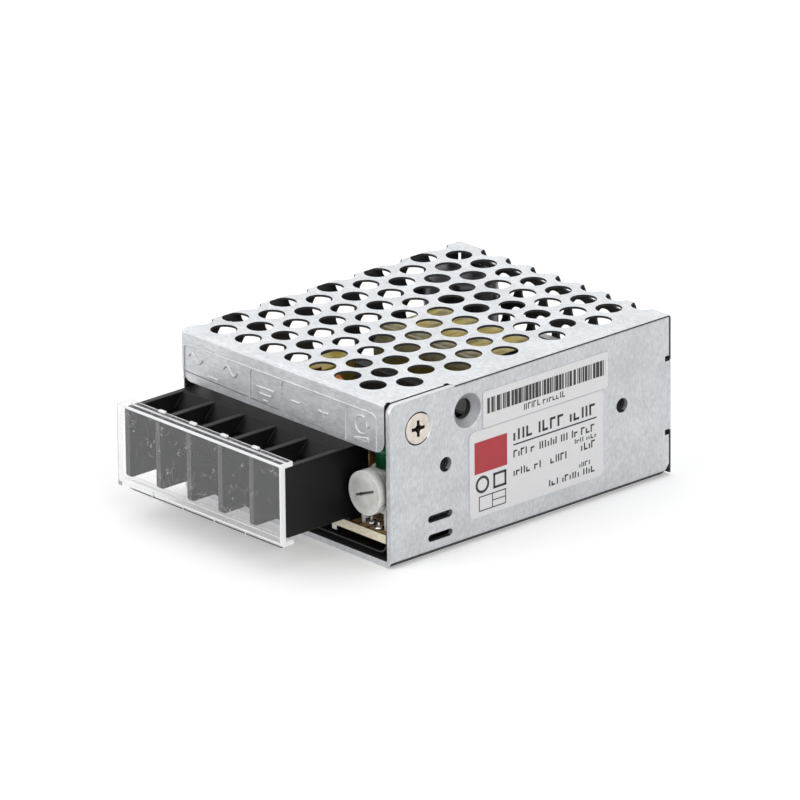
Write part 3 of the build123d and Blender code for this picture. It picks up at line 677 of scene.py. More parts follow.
def printed(name, colour):
    paint = Paint(name)
    wear = paint.noise(3.0, 3.0).ramp(0.55, 0.85)
    light = tuple(min(1.0, part + 0.06) for part in colour)
    return paint.set(Base_Color=paint.mix(wear, colour, light), Roughness=0.30 + wear * 0.15)


def dull(name, first, second, rough=0.5, scale=1.0, depth=0.02, **constants):
    """Plain inner part in two close colours."""
    paint = Paint(name, **constants)
    cloud = paint.noise(scale, 4.0)
    return paint.set(Base_Color=paint.mix(cloud.ramp(0.3, 0.7), first, second),
                     Roughness=rough + cloud * 0.12, Normal=paint.bump(cloud * depth))


FINISHES = {}


def make_materials(colours):
    """All finishes, under the names of the record's material slots."""
    made = {
        "galvanised_sheet": zinc("galvanised_sheet", colours.zinc, (0.25, 1.0, 1.0)),
        "wall_sheet": zinc("wall_sheet", colours.zinc, (1.0, 1.0, 0.3)),
        "cover_screw_steel": plated("cover_screw_steel", (0.70, 0.64, 0.57), 0.28),
        "plated_steel": plated("plated_steel", (0.78, 0.78, 0.76), 0.16),
        "black_film": black_film("black_film"),
        "tan_board": phenolic_board("tan_board"),
        "black_moulding": satin("black_moulding", colours.moulding, 0.42, Specular_IOR_Level=0.18),
        "clear_plastic": clear_plastic("clear_plastic"),
        "milky_plastic": milky_plastic("milky_plastic"),
        "green_lens": green_lens("green_lens", colours.lamp),
        "ferrite": dull("ferrite", (0.018, 0.018, 0.02), (0.05, 0.05, 0.052), 0.55, 2.0),
        "yellow_tape": tape_film("yellow_tape", colours.tape),
        "dark_bobbin": satin("dark_bobbin", (0.02, 0.016, 0.014), 0.4),
        "copper_wire": dull("copper_wire", (0.36, 0.10, 0.035), (0.55, 0.20, 0.07), 0.25, 0.8, 0.01,
                            Metallic=0.9),
        "bare_aluminium": plated("bare_aluminium", (0.70, 0.71, 0.72), 0.34),
        "black_epoxy": satin("black_epoxy", (0.014, 0.014, 0.015), 0.5),
        "fuse_body": dull("fuse_body", (0.40, 0.35, 0.28), (0.60, 0.55, 0.45), 0.25),
        "disc_green": dull("disc_green", (0.015, 0.06, 0.03), (0.03, 0.11, 0.06), 0.4),
        "yellow_box": dull("yellow_box", (0.55, 0.40, 0.05), (0.68, 0.52, 0.08), 0.32),
        "can_sleeve": dull("can_sleeve", (0.010, 0.010, 0.014), (0.02, 0.02, 0.028), 0.25),
        "red_box": dull("red_box", (0.30, 0.03, 0.02), (0.40, 0.05, 0.03), 0.35),
        "disc_blue": dull("disc_blue", (0.03, 0.09, 0.26), (0.05, 0.14, 0.34), 0.4),
        "resistor_body": dull("resistor_body", (0.42, 0.32, 0.19), (0.55, 0.44, 0.28), 0.4),
        "white_sticker": label_stock("white_sticker", colours.sticker),
        "ink": printed("ink", colours.ink),
        "colour_block": printed("colour_block", colours.block),
        "solder": plated("solder", (0.72, 0.72, 0.70), 0.18),
        "pale_ring": dull("pale_ring", (0.74, 0.66, 0.62), (0.86, 0.80, 0.76), 0.4),
    }
    FINISHES.update(made)


def finish_of(name):
    return FINISHES[name]


def dress(slot, *nodes):
    """Give nodes that keep their own shape a finished material."""
    for node in nodes:
        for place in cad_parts[node].material_slots:
            place.material = finish_of(slot)


# Perforated cover


def folded(name, axis, place, first, second, centre, corner=0.0):
    """A wall whose upper edge is spun a quarter turn into the plane of the top."""
    piece = panel(name, axis, place, first, second)
    if corner:
        with edit(piece, "VERT", lambda point: point.z < second[0] + corner):
            bpy.ops.mesh.bevel(offset=corner * MM, segments=6, affect="VERTICES")
    along = (1, 0, 0) if axis == "Y" else (0, 1, 0)
    inward = centre[0] > place
    turn = -math.pi / 2 if inward else math.pi / 2
    if axis == "Y":
        turn = -turn
        hub = (0, centre[0], centre[1])
    else:
        hub = (centre[0], 0, centre[1])
    with edit(piece, "EDGE", lambda point: point.z > second[1] - SEAM / 4):
        bpy.ops.mesh.spin(steps=BEND_STEPS, angle=turn, center=in_metres(hub), axis=along)
    return piece


def sliced(piece, axis, places):
    """Cut new edges across a flat piece."""
    for place in places:
        point = [0, 0, 0]
        normal = [0, 0, 0]
        point["XYZ".index(axis)] = place * MM
        normal["XYZ".index(axis)] = 1
        with edit(piece):
            bpy.ops.mesh.bisect(plane_co=point, plane_no=normal, threshold=0.001 * MM)
    return piece


def cover_sheet():
    """Top, left wall, back wall, front flange and screw tab as one folded sheet."""
    bend = COVER_BEND
    flat_left = -HALF + bend
    flat_front, flat_back = FRONT + bend, BACK - bend
    flat_tab = TAB_FACE - bend
    tab = (FRONT + TAB_SPAN[0], FRONT + TAB_SPAN[1])
    zone = FRONT + TAB_ZONE
    low = TOP - bend
    side = (flat_front + SEAM, flat_back - SEAM)
    top = panel("top", "Z", TOP, (flat_left, HALF), (flat_front, flat_back))
    sliced(top, "X", (flat_tab,))
    sliced(top, "Y", (*side, *tab, zone))
    with edit(top, "FACE", lambda point: point.x > flat_tab and point.y < zone):
        bpy.ops.mesh.delete(type="FACE")
    left = folded("left", "X", -HALF, side, (cover_low.z, low), (flat_left, low))
    back = folded("back", "Y", BACK, (flat_left, HALF), (cover_low.z, low), (flat_back, low))
    flange = folded("flange", "Y", FRONT, FLANGE_SIDES, (FLANGE_LOW, low), (flat_front, low), FLANGE_CORNER)
    sliced(left, "Y", (*tab, zone))
    sliced(flange, "X", (flat_left, flat_tab))
    sliced(back, "X", (flat_tab,))
    screw_tab = folded("tab", "X", TAB_FACE, tab, (TAB_LOW, low), (flat_tab, low), TAB_CORNER)
    sheet = joined("perforated_cover", [top, left, back, flange, screw_tab])
    with edit(sheet):
        bpy.ops.mesh.remove_doubles(threshold=0.01 * MM)
        bpy.ops.mesh.normals_make_consistent(inside=False)
    return sheet


def hole_places(pitch):
    """Centres of the punched holes on the flat sheet, as X and distance from the front."""
    step = pitch * math.sqrt(3) / 2
    places = []
    for row in range(TOP_ROWS + BACK_ROWS):
        shift = (row % 2) * pitch / 2
        for column in range(-WALL_COLUMNS - 1, HOLES_ACROSS):
            from_left, place = HOLE_MARGIN + column * pitch + shift, FIRST_ROW + row * step
            if max(from_left, BACK - FRONT - place) > pitch / 2:
                places.append((from_left - HALF, place))
    return places


def punches(radius, pitch):
    """Cutters for the top, the left wall and the back wall, one piece for each."""
    made = {"Z": [], "X": [], "Y": []}
    wall_low = TOP - WALL_COLUMNS * pitch
    long = BACK - FRONT
    for x, place in hole_places(pitch):
        past_left = -HALF - x
        past_back = place - long
        if past_left < radius and past_back < radius:
            made["Z"].append((x, FRONT + place, TOP))
        if past_left > -radius / 2 and past_back < -radius and TOP - past_left > wall_low:
            made["X"].append((-HALF, FRONT + place, TOP - past_left))
        if past_back > -radius / 2 and past_left < -radius / 2:
            made["Y"].append((x, BACK, TOP - past_back))
    return [joined("punches", spread(rod("punch", axis, (0, 0, 0), radius, 2 * COVER_BEND, PUNCH_SIDES),
                                     centres)) for axis, centres in made.items()]


class SUPPLY_OT_cover(bpy.types.Operator):
    """Fold the perforated cover from one sheet"""
    bl_idname = "supply.cover"
    bl_label = "Perforated cover"

    def execute(self, context):
        sizes = context.scene.supply_sheet
        wear = sizes.edge_wear / MM
        cover = cover_sheet()
        modify(cover, "SOLIDIFY", thickness=COVER_SHEET * MM, offset=-1, use_even_offset=True)
        with edit(cover):
            bpy.ops.mesh.normals_make_consistent(inside=False)
        screw_y = FRONT + SCREW_PLACE[0]
        tab_inside = TAB_FACE - COVER_SHEET
        collar = rod("collar", "X", (tab_inside - COLLAR_LONG / 2 + SEAM, screw_y, SCREW_PLACE[1]),
                     M3_RADIUS + COLLAR_WALL, COLLAR_LONG + 2 * SEAM)
        combine(cover, collar, "UNION")
        combine(cover, rod("tap", "X", (tab_inside, screw_y, SCREW_PLACE[1]), M3_RADIUS, 4 * COLLAR_LONG))
        notch = box("notch", (chassis_high.x - 1 - SEAM, HALF + 1), (BACK - COVER_SHEET - SEAM, BACK + 1),
                    (TONGUE[0] - SEAM, TONGUE[1] + SEAM))
        combine(cover, notch)
        rounded(cover, wear, 2, 50)
        for cutters in punches(sizes.hole_radius / MM, sizes.hole_pitch / MM):
            combine(cover, cutters)
        merged(cover, 0.002)
        # Painted shade: every face off the outer skin, hole walls included, is marked to be painted near
        # black.
        mark(cover, "inner_shade", lambda middle, normal: not outer_face(middle, normal))
        settle(cover, "case", finish_of("galvanised_sheet"), "galvanised_sheet", "mesh_cover")
        return {"FINISHED"}


def outer_face(middle, normal):
    """Whether a face of the sheet lies on the outside of the case, bends included."""
    hub = COVER_BEND
    near = (min(max(middle.x, -HALF + hub), HALF - hub), min(max(middle.y, FRONT + hub), BACK - hub),
            min(middle.z, TOP - hub))
    out = middle - Vector(near)
    # Painted shade: the back wall's end edge beside the chassis wall is marked as inside, so it is painted
    # dark like the gap there.
    if middle.x > HALF - 0.05 and middle.z < TOP - COVER_SHEET:
        return False
    on_skin = out.length > hub - 0.06 or middle.x > TAB_FACE - 0.06
    return on_skin and normal.dot(out) > 0.3 * out.length


# Embossed signs on the front flange

CELL_WALLS = (-24.5, -8.2, -0.55, 14.95, 22.3)
CELL_TOP = 25.7
CELL_CORNER = 1.1
LINE_WIDTH = 0.34
SIGN_WIDTH = 0.42


def arc(centre, radius, start, end, steps=8):
    """Points of an arc on the flange, as X and Z, by angles in degrees."""
    points = []
    for step in range(steps + 1):
        angle = math.radians(start + (end - start) * step / steps)
        points.append((centre[0] + radius * math.cos(angle), centre[1] + radius * math.sin(angle)))
    return points


def flange_stroke(points, width, face):
    return stroke("line", [(x, face, z) for x, z in points], width)


def sign_lines():
    """Borders of the cells, as lists of X and Z."""
    low = FLANGE_LOW + LINE_WIDTH
    first, last = CELL_WALLS[0], CELL_WALLS[-1]
    top = CELL_TOP - CELL_CORNER
    lines = [[(first, low), *reversed(arc((first + CELL_CORNER, top), CELL_CORNER, 90, 180)),
              *reversed(arc((last - CELL_CORNER, top), CELL_CORNER, 0, 90)), (last, low)]]
    for wall in CELL_WALLS[1:-1]:
        lines.append([(wall, low), *reversed(arc((wall + CELL_CORNER, top), CELL_CORNER, 90, 180))])
    return lines


def wave(centre, long, high, steps=20):
    """One period of a sine as points."""
    points = []
    for step in range(steps + 1):
        share = step / steps
        rise = high / 2 * math.sin(2 * math.pi * share)
        points.append((centre[0] + (share - 0.5) * long, centre[1] + rise))
    return points


def signs():
    """Plain signs: two waves, bars, a minus, a plus and an open ring over the dial."""
    dial_x = (dial_low.x + dial_high.x) / 2
    minus_x, plus_x = 2.9, 9.6
    return [
        wave((-21.6, 23.8), 3.4, 1.5),
        wave((-13.0, 23.8), 3.4, 1.5),
        [(-18.6, 21.4), (-16.0, 21.4)],
        [(-6.6, 23.0), (-2.2, 23.0)],
        [(-5.8, 21.9), (-3.0, 21.9)],
        [(-5.0, 20.9), (-3.8, 20.9)],
        [(minus_x - 1.1, 22.7), (minus_x + 1.1, 22.7)],
        [(plus_x - 1.2, 22.7), (plus_x + 1.2, 22.7)],
        [(plus_x, 21.5), (plus_x, 23.9)],
        arc((dial_x - 1.2, 23.1), 1.55, 60, 350, 24),
        [(dial_x - 0.1, 23.9), (dial_x + 0.1, 22.75), (dial_x + 0.9, 23.4)],
        [(dial_x - 2.9, 20.5), (dial_x + 0.3, 21.2), (dial_x + 0.3, 20.4), (dial_x - 2.9, 20.4)],
    ]


class SUPPLY_OT_signs(bpy.types.Operator):
    """Raise the cell borders and plain signs on the front flange"""
    bl_idname = "supply.signs"
    bl_label = "Embossed signs"

    def execute(self, context):
        rise = context.scene.supply_sheet.emboss / MM
        face = FRONT + LINE_WIDTH / 2 - rise
        made = [flange_stroke(line, LINE_WIDTH, face) for line in sign_lines()]
        face = FRONT + SIGN_WIDTH / 2 - rise
        made += [flange_stroke(line, SIGN_WIDTH, face) for line in signs()]
        piece = joined("embossed_signs", made)
        settle(piece, "case", finish_of("galvanised_sheet"), "galvanised_sheet", angle=60)
        return {"FINISHED"}


# Chassis

SIDE_TAPS = (12.1, 51.4)         # behind the front
SIDE_TAP_HEIGHT = 14.9
FLOOR_TAPS = (11.7, 51.0)
TAP_RADIUS = 1.25
TAP_DEEP = 0.16
TAP_LONG = 1.9
TAP_START = 2.05                 # from the outer face of the wall to the inner end of a thread


def chassis_shade(middle, normal):
    """How much painted shade a face of the chassis gets: 0 outside and on the end edges, 1 inside and in
    holes.
    """
    skin = 0.06
    from_dimple = math.hypot(middle.y - FRONT - DIMPLE_PLACE[0], middle.z - DIMPLE_PLACE[1])
    if middle.x > HALF - skin or middle.x < chassis_low.x + skin or middle.z < skin or middle.z > TOP - 1:
        return 0
    if from_dimple < DIMPLE_RADIUS + skin:
        return 0.45 if normal.x > 0.25 else 1
    return abs(normal.y) < 0.5


class SUPPLY_OT_chassis(bpy.types.Operator):
    """Break the edges of the folded chassis and cut the threads of its tapped holes"""
    bl_idname = "supply.chassis"
    bl_label = "Chassis"

    def execute(self, context):
        wear = context.scene.supply_sheet.edge_wear / MM
        chassis = softened("chassis", "folded_chassis", wear, 2, 40)
        # Painted shade on the inside faces and hole walls of the chassis.
        mark(chassis, "inner_shade", chassis_shade)
        settle(chassis, "case", finish_of("wall_sheet"), "galvanised_sheet", "chassis")
        threads = []
        for axis, x, z, places in (("X", HALF - TAP_START, SIDE_TAP_HEIGHT, SIDE_TAPS),
                                   ("Z", 0, SEAM, FLOOR_TAPS)):
            ridge = thread("thread", axis, (x, FRONT, z), TAP_RADIUS, TAP_DEEP, TAP_LONG, M3_PITCH,
                           inside=True)
            threads += spread(ridge, [(0, place, 0) for place in places])
        # Painted shade: the threads inside the tapped holes are painted near black all over.
        threads = mark(joined("tapped_threads", threads), "inner_shade", lambda middle, normal: True)
        settle(threads, "case", finish_of("wall_sheet"), "galvanised_sheet")
        return {"FINISHED"}


# Cover screw

SCREW_RIM = 0.22                 # straight rim of the head, above its cone
SHANK_SPAN = (1.3, 5.9)          # below the face of the head
SCREW_CORE = M3_RADIUS - 0.26
RIDGE_START, RIDGE_LONG, RIDGE_DEEP = 5.8, 4.2, 0.18
CROSS_REACH = 1.55
CROSS_ARM = 0.33
CROSS_DEEP = 1.2


class SUPPLY_OT_cover_screw(bpy.types.Operator):
    """Countersunk cover screw with a cross recess"""
    bl_idname = "supply.cover_screw"
    bl_label = "Cover screw"

    def execute(self, context):
        y, z = FRONT + SCREW_PLACE[0], SCREW_PLACE[1]
        taper = SCREW_HEAD - M3_RADIUS
        head = rod("head", "X", (HALF - SCREW_RIM / 2, y, z), SCREW_HEAD, SCREW_RIM, 64)
        rounded(head, 0.09, 3)
        bpy.ops.mesh.primitive_cone_add(
            vertices=64, radius1=M3_RADIUS * MM, radius2=SCREW_HEAD * MM, depth=taper * MM,
            location=in_metres((HALF - SCREW_RIM - taper / 2 + 0.01, y, z)), rotation=TURNS["X"])
        cone = placed("cone")
        shank = rod("shank", "X", (HALF - sum(SHANK_SPAN) / 2, y, z), SCREW_CORE,
                    SHANK_SPAN[1] - SHANK_SPAN[0], 32)
        screw = combine(combine(head, cone, "UNION"), shank, "UNION")
        for wide in ((CROSS_REACH, CROSS_ARM), (CROSS_ARM, CROSS_REACH)):
            arm = box("arm", (HALF - CROSS_DEEP, HALF + 0.3), (y - wide[0], y + wide[0]),
                      (z - wide[1], z + wide[1]))
            with edit(arm, "FACE", lambda point: point.x < HALF - CROSS_DEEP + SEAM):
                bpy.ops.transform.resize(value=(1, 0.6, 0.6))
            combine(screw, arm)
        bpy.ops.mesh.primitive_cone_add(
            vertices=32, radius1=0.3 * MM, radius2=2.2 * CROSS_ARM * MM, depth=CROSS_DEEP * MM,
            location=in_metres((HALF - CROSS_DEEP / 2 + SEAM, y, z)), rotation=TURNS["X"])
        combine(screw, placed("hollow"))
        rounded(screw, 0.03, 1, 40)
        # Painted shade: the faces inside the cross recess are marked to be painted dark.
        mark(screw, "recess", lambda middle, normal: middle.x < HALF - 0.1
             and math.hypot(middle.y - y, middle.z - z) < CROSS_REACH
             and normal.dot(Vector((0, middle.y - y, middle.z - z))) <= 0.02)
        ridge = thread("ridge", "X", (HALF - RIDGE_START, y, z), SCREW_CORE - 0.02, RIDGE_DEEP,
                       RIDGE_LONG, M3_PITCH)
        screw = joined("countersunk_screw", [screw, ridge])
        settle(screw, "case", finish_of("cover_screw_steel"), "cover_screw_steel", "cover_screw")
        return {"FINISHED"}


# Labels

INK_HIGH = 0.02
HEADING_PEN, TEXT_PEN, SMALL_PEN, FINE_PEN = 0.42, 0.27, 0.2, 0.18
BAR_WIDTHS = (0.18, 0.18, 0.36, 0.54, 0.72)
BAR_GAPS = (0.14, 0.14, 0.16, 0.34)


def print_box(y, z):
    """Thin patch of ink on the outer face of the labels."""
    face = rating_high.x
    return box("patch", (face, face + INK_HIGH), y, z)


def words(draw, y, z, pen):
    """Groups of plain short strokes on one line, as print looks from afar."""
    patches = []
    place = y[0]
    high = z[1] - z[0]
    while place < y[1] - 3 * pen:
        for _ in range(draw.randint(3, 8)):
            if place + pen > y[1]:
                break
            top = z[1] - draw.choice((0, 0, 0.3)) * high
            patches.append(print_box((place, place + pen), (z[0], top)))
            if draw.random() < 0.45:
                level = draw.choice((z[0], top - pen))
                patches.append(print_box((place, min(place + 3 * pen, y[1])), (level, level + pen)))
                place += 2 * pen
            place += draw.choice((2.0, 2.4)) * pen
        place += 2.2 * pen
    return patches


def outline(y, z, pen):
    """Plain rectangular frame of ink."""
    return [print_box((y[0], y[1]), (z[0], z[0] + pen)), print_box((y[0], y[1]), (z[1] - pen, z[1])),
            print_box((y[0], y[0] + pen), z), print_box((y[1] - pen, y[1]), z)]


def ink_ring(y, z, radius, pen):
    """Plain ring of ink."""
    face = rating_high.x + INK_HIGH / 2
    ring = rod("ring", "X", (face, y, z), radius, INK_HIGH, 48)
    return combine(ring, rod("middle", "X", (face, y, z), radius - pen, 4 * INK_HIGH, 48))


class SUPPLY_OT_labels(bpy.types.Operator):
    """Print of the two labels: plain bars, strokes, a ring, boxes and one colour block"""
    bl_idname = "supply.labels"
    bl_label = "Labels"

    def execute(self, context):
        dress("white_sticker", "rating_label", "barcode_label")
        draw = random.Random(11)
        bars = []
        place, end = barcode_low.y + 0.9, barcode_high.y - 0.6
        low, high = barcode_low.z + 2.3, barcode_high.z - 1.25
        while place < end:
            wide = draw.choice(BAR_WIDTHS)
            bars.append(print_box((place, min(place + wide, end)), (low, high)))
            place += wide + draw.choice(BAR_GAPS)
        bars += words(draw, (barcode_low.y + 9.0, barcode_low.y + 18.6), (low - 1.45, low - 0.4), SMALL_PEN)
        settle(joined("barcode_print", bars), "case", finish_of("ink"), "white_sticker")
        left, right = rating_low.y, rating_high.y
        top = rating_high.z
        block = box("colour_block", (rating_high.x, rating_high.x + INK_HIGH),
                    (left + 1.1, left + 8.3), (top - 7.4, top - 1.9))
        settle(block, "case", finish_of("colour_block"), "white_sticker")
        column = left + 9.7
        patches = words(draw, (column, right - 1.6), (top - 3.7, top - 1.8), HEADING_PEN)
        patches.append(print_box((column, right - 1.5), (top - 4.5, top - 4.25)))
        for drop, start, stop, high, pen in (
                (6.6, column, column + 5.0, 1.25, TEXT_PEN),
                (6.6, column + 5.8, right - 5.8, 1.25, TEXT_PEN),
                (6.6, right - 5.0, right - 1.6, 1.25, TEXT_PEN),
                (7.8, right - 6.4, right - 1.6, 0.8, SMALL_PEN),
                (9.8, column, column + 6.2, 1.25, TEXT_PEN),
                (9.8, column + 8.2, column + 12.0, 1.25, TEXT_PEN),
                (9.4, right - 5.0, right - 1.6, 1.25, TEXT_PEN),
                (12.2, right - 5.4, right - 1.8, 0.8, SMALL_PEN),
                (13.7, right - 12.2, right - 1.6, 1.1, TEXT_PEN)):
            patches += words(draw, (start, stop), (top - drop, top - drop + high), pen)
        patches.append(ink_ring(left + 2.8, top - 9.4, 1.5, 0.45))
        patches += outline((left + 5.2, left + 8.1), (top - 10.8, top - 8.1), HEADING_PEN)
        low = top - 14.0
        patches += outline((left + 2.0, left + 8.0), (low, low + 2.6), FINE_PEN)
        patches.append(print_box((left + 4.9, left + 5.08), (low, low + 2.6)))
        patches.append(print_box((left + 5.0, left + 8.0), (low + 1.2, low + 1.36)))
        settle(joined("rating_print", patches), "case", finish_of("ink"), "white_sticker")
        return {"FINISHED"}


# Terminal block


def way_centres():
    first = block_low.x + (WAY_PITCH + FIN) / 2
    return [first + way * WAY_PITCH for way in range(WAYS)]


def fin_centres():
    return [block_low.x + FIN / 2 + way * WAY_PITCH for way in range(WAYS + 1)]


class SUPPLY_OT_terminal_block(bpy.types.Operator):
    """Black terminal block with softened mould edges"""
    bl_idname = "supply.terminal_block"
    bl_label = "Terminal block"

    def execute(self, context):
        block = copied("terminal_housing", "terminal_block")
        y, z = block_low.y, FIN_BOTTOM
        heel = box("heel", (-FIN / 2, FIN / 2), (y, y + FIN_HEEL), (z, z + FIN_HEEL))
        with edit(heel, "EDGE", lambda point: point.y < y + SEAM and point.z < z + SEAM):
            bpy.ops.mesh.bevel(offset=FIN_HEEL_ROUND * MM, segments=5, affect="EDGES")
        for copy in spread(heel, [(x, 0, 0) for x in fin_centres()]):
            combine(block, copy, "UNION")
        rounded(merged(block), MOULD_ROUND, 3, 40)
        # Painted highlight: the front faces of the block are painted lighter grey, as where the front light
        # falls on them.
        mark(block, "sheen_and_scuff", lambda middle, normal: normal.y < -0.9 and middle.y < block_low.y + SEAM)
        settle(block, "case", finish_of("black_moulding"), "black_moulding", "terminal_housing")
        plates = softened("terminal_plates", "contact_plates", 0.08, 2, 40)
        settle(plates, "case", finish_of("plated_steel"), "plated_steel", "terminal_plates")
        return {"FINISHED"}


class SUPPLY_OT_terminal_screws(bpy.types.Operator):
    """Slotted screws and their square clamps"""
    bl_idname = "supply.terminal_screws"
    bl_label = "Terminal screws"

    def execute(self, context):
        face, under, back = FRONT + HEAD_UNDER - HEAD_HIGH, FRONT + HEAD_UNDER, FRONT + SHANK_BACK
        z = TERMINAL_HEIGHT
        head = rod("head", "Y", (0, (face + under) / 2, z), HEAD_RADIUS, HEAD_HIGH, 56)
        with edit(head, "FACE", lambda point: point.y < face + SEAM):
            bpy.ops.mesh.bevel(offset=HEAD_ROUND * MM, segments=5, affect="EDGES")
        combine(head, box("cut", (-4, 4), (face - 1, face + HEAD_SLOT_DEEP),
                          (z - HEAD_SLOT_HALF, z + HEAD_SLOT_HALF)))
        rounded(head, 0.07, 2, 40)
        core = rod("core", "Y", (0, (under + back) / 2, z), SHANK_RADIUS - 0.3, back - under, 32)
        ridge = thread("ridge", "Y", (0, back - 0.2, z), SHANK_RADIUS - 0.32, 0.2, back - under - 0.4,
                       THREAD_PITCH)
        pattern = joined("screw_pattern", [head, core, ridge])
        for number, x in enumerate(way_centres(), start=1):
            screw = moved(pattern, f"slotted_screw_{number}", (x, 0, 0))
            settle(screw, f"screw_{number}", finish_of("plated_steel"), "plated_steel",
                   f"terminal_screw_{number}")
            clamp = softened(f"wire_clamp_{number}", f"square_clamp_{number}", 0.1, 2, 40)
            settle(clamp, f"clamp_{number}", finish_of("plated_steel"), "plated_steel",
                   f"wire_clamp_{number}")
        bpy.data.objects.remove(pattern)
        return {"FINISHED"}


# Clear cover over the terminals

NUB_HALF, NUB_LONG, NUB_RISE = 0.75, 0.65, 0.3
RIB_HALF, RIB_HIGH = 0.08, 0.9
LID_FACE = 0.3                   # depth behind which a point no longer counts as front or left end


def lid_glare(middle, normal):
    """How white a face of the clear cover is: its ends and rounded edges catch the light."""
    if middle.x < lid_low.x + LID_FACE:
        return 0.9 if middle.y < lid_low.y + LID_FACE else 0.15
    return abs(normal.x) > 0.3 or max(abs(part) for part in normal) < 0.985


class SUPPLY_OT_clear_cover(bpy.types.Operator):
    """Clear moulded cover with ribs at the fins"""
    bl_idname = "supply.clear_cover"
    bl_label = "Clear cover"

    def execute(self, context):
        lid = softened("terminal_cover", "clear_terminal_cover", 0.22, 3, 40)
        # Painted highlight: the ends and rounded edges of the clear cover are painted white.
        mark(lid, "edge_glare", lid_glare)
        mark(lid, "panel", lambda middle, normal: True)
        settle(lid, "clear_cover", finish_of("clear_plastic"), "clear_plastic", "terminal_cover")
        nub = box("nub", (-NUB_HALF, NUB_HALF), (lid_high.y - SEAM - NUB_LONG, lid_high.y - SEAM),
                  (lid_high.z - SEAM, lid_high.z + NUB_RISE))
        rib = box("rib", (-RIB_HALF, RIB_HALF), (lid_low.y - 0.06, lid_low.y + 0.4),
                  (lid_low.z - 0.04, lid_low.z + RIB_HIGH))
        pattern = joined("ribs", [rounded(nub, MOULD_ROUND, 3), rounded(rib, 0.03)])
        ribs = joined("clear_cover_ribs", spread(pattern, [(x, 0, 0) for x in fin_centres()[1:-1]]))
        # Painted highlight: the ribs are painted white all over.
        mark(ribs, "edge_glare", lambda middle, normal: True)
        settle(ribs, "clear_cover", finish_of("clear_plastic"), "clear_plastic")
        return {"FINISHED"}


# Trimmer and lamp

SLOT_REACH = 2.3
SLOT_HALF = 0.2
SLOT_DEEP = 0.6
SLOT_TURN = math.radians(21)
DIAL_THICK = 1.7
STEM_RADIUS = 1.15
CASE_ROUND = 2.5
LAMP_RING_DROP = 4.5
LAMP_RING_RADIUS, LAMP_RING_WAY, LAMP_RING_HIGH = 2.15, 1.45, 0.9


class SUPPLY_OT_dial(bpy.types.Operator):
    """Milky trimmer dial with a dished face and a screwdriver slot"""
    bl_idname = "supply.dial"
    bl_label = "Trimmer dial"

    def execute(self, context):
        x, z = (dial_low.x + dial_high.x) / 2, (dial_low.z + dial_high.z) / 2
        radius = (dial_high.x - dial_low.x) / 2
        face = dial_low.y
        thick = DIAL_THICK
        dial = rod("dial", "Y", (x, face + thick / 2, z), radius, thick, 96)
        with edit(dial, "FACE", lambda point: point.y < face + SEAM):
            bpy.ops.mesh.inset(thickness=0.5 * MM)
            bpy.ops.transform.translate(value=(0, 0.14 * MM, 0))
            bpy.ops.mesh.inset(thickness=0.12 * MM)
            bpy.ops.transform.translate(value=(0, 0.04 * MM, 0))
        rounded(dial, 0.12, 3, 50)
        cut = box("cut", (-SLOT_REACH, SLOT_REACH), (face - 1, face + SLOT_DEEP), (-SLOT_HALF, SLOT_HALF))
        cut.rotation_euler = (0, -SLOT_TURN, 0)
        cut.location = in_metres((x, 0, z))
        combine(dial, placed("cut"))
        combine(dial, rod("eye", "Y", (x - 0.9, face, z - 0.35), 1.7 * SLOT_HALF, 4 * SLOT_DEEP, 24))
        # Painted shade in the slot and the small hole of the dial.
        mark(dial, "recess", lambda middle, normal: face + 0.25 < middle.y < face + 1.6
             and math.hypot(middle.x - x, middle.z - z) < SLOT_REACH + SEAM)
        stem = rod("stem", "Y", (x, (face + thick + dial_high.y) / 2, z), STEM_RADIUS,
                   dial_high.y - face - thick + 0.05)
        dial = joined("slotted_dial", [dial, stem])
        settle(dial, "dial", finish_of("milky_plastic"), "milky_plastic", "trimmer_dial")
        body = copied("trimmer_body", "trimmer_case")
        low, high = span_of("trimmer_body")
        with edit(body, "EDGE", lambda point: point.z > high.z - SEAM and point.y > low.y + 0.3):
            bpy.ops.mesh.bevel(offset=CASE_ROUND * MM, segments=6, affect="EDGES")
        rounded(body, 0.08, 2, 40)
        settle(body, "case", finish_of("milky_plastic"), "milky_plastic", "trimmer_body")
        return {"FINISHED"}


class SUPPLY_OT_lamp(bpy.types.Operator):
    """Green lamp with a domed lens on a pale ring"""
    bl_idname = "supply.lamp"
    bl_label = "Indicator lamp"

    def execute(self, context):
        x, y = (lamp_low.x + lamp_high.x) / 2, (lamp_low.y + lamp_high.y) / 2
        lamp = softened("indicator_led", "lamp_lens", 0.08, 2, 40)
        settle(lamp, "case", finish_of("green_lens"), "green_lens", "indicator_led", angle=40)
        rim = lamp_high.z - LAMP_RING_DROP
        ring = rod("lamp_ring", "Z", (x, y, rim), LAMP_RING_RADIUS, LAMP_RING_HIGH)
        combine(ring, rod("way", "Z", (x, y, rim), LAMP_RING_WAY, 2 * LAMP_RING_HIGH))
        rounded(ring, 0.12, 3)
        settle(ring, "case", finish_of("pale_ring"), "milky_plastic")
        return {"FINISHED"}


# Board and inner parts

SOLDER_PLACES = ((18.4, 2.4), (21.0, 1.6), (14.2, 2.0), (16.0, 3.6))   # as X and distance from the front
SOLDER_RADIUS, SOLDER_FLAT = 0.85, 0.62
PIN_RADIUS, PIN_LONG = 0.3, 1.2


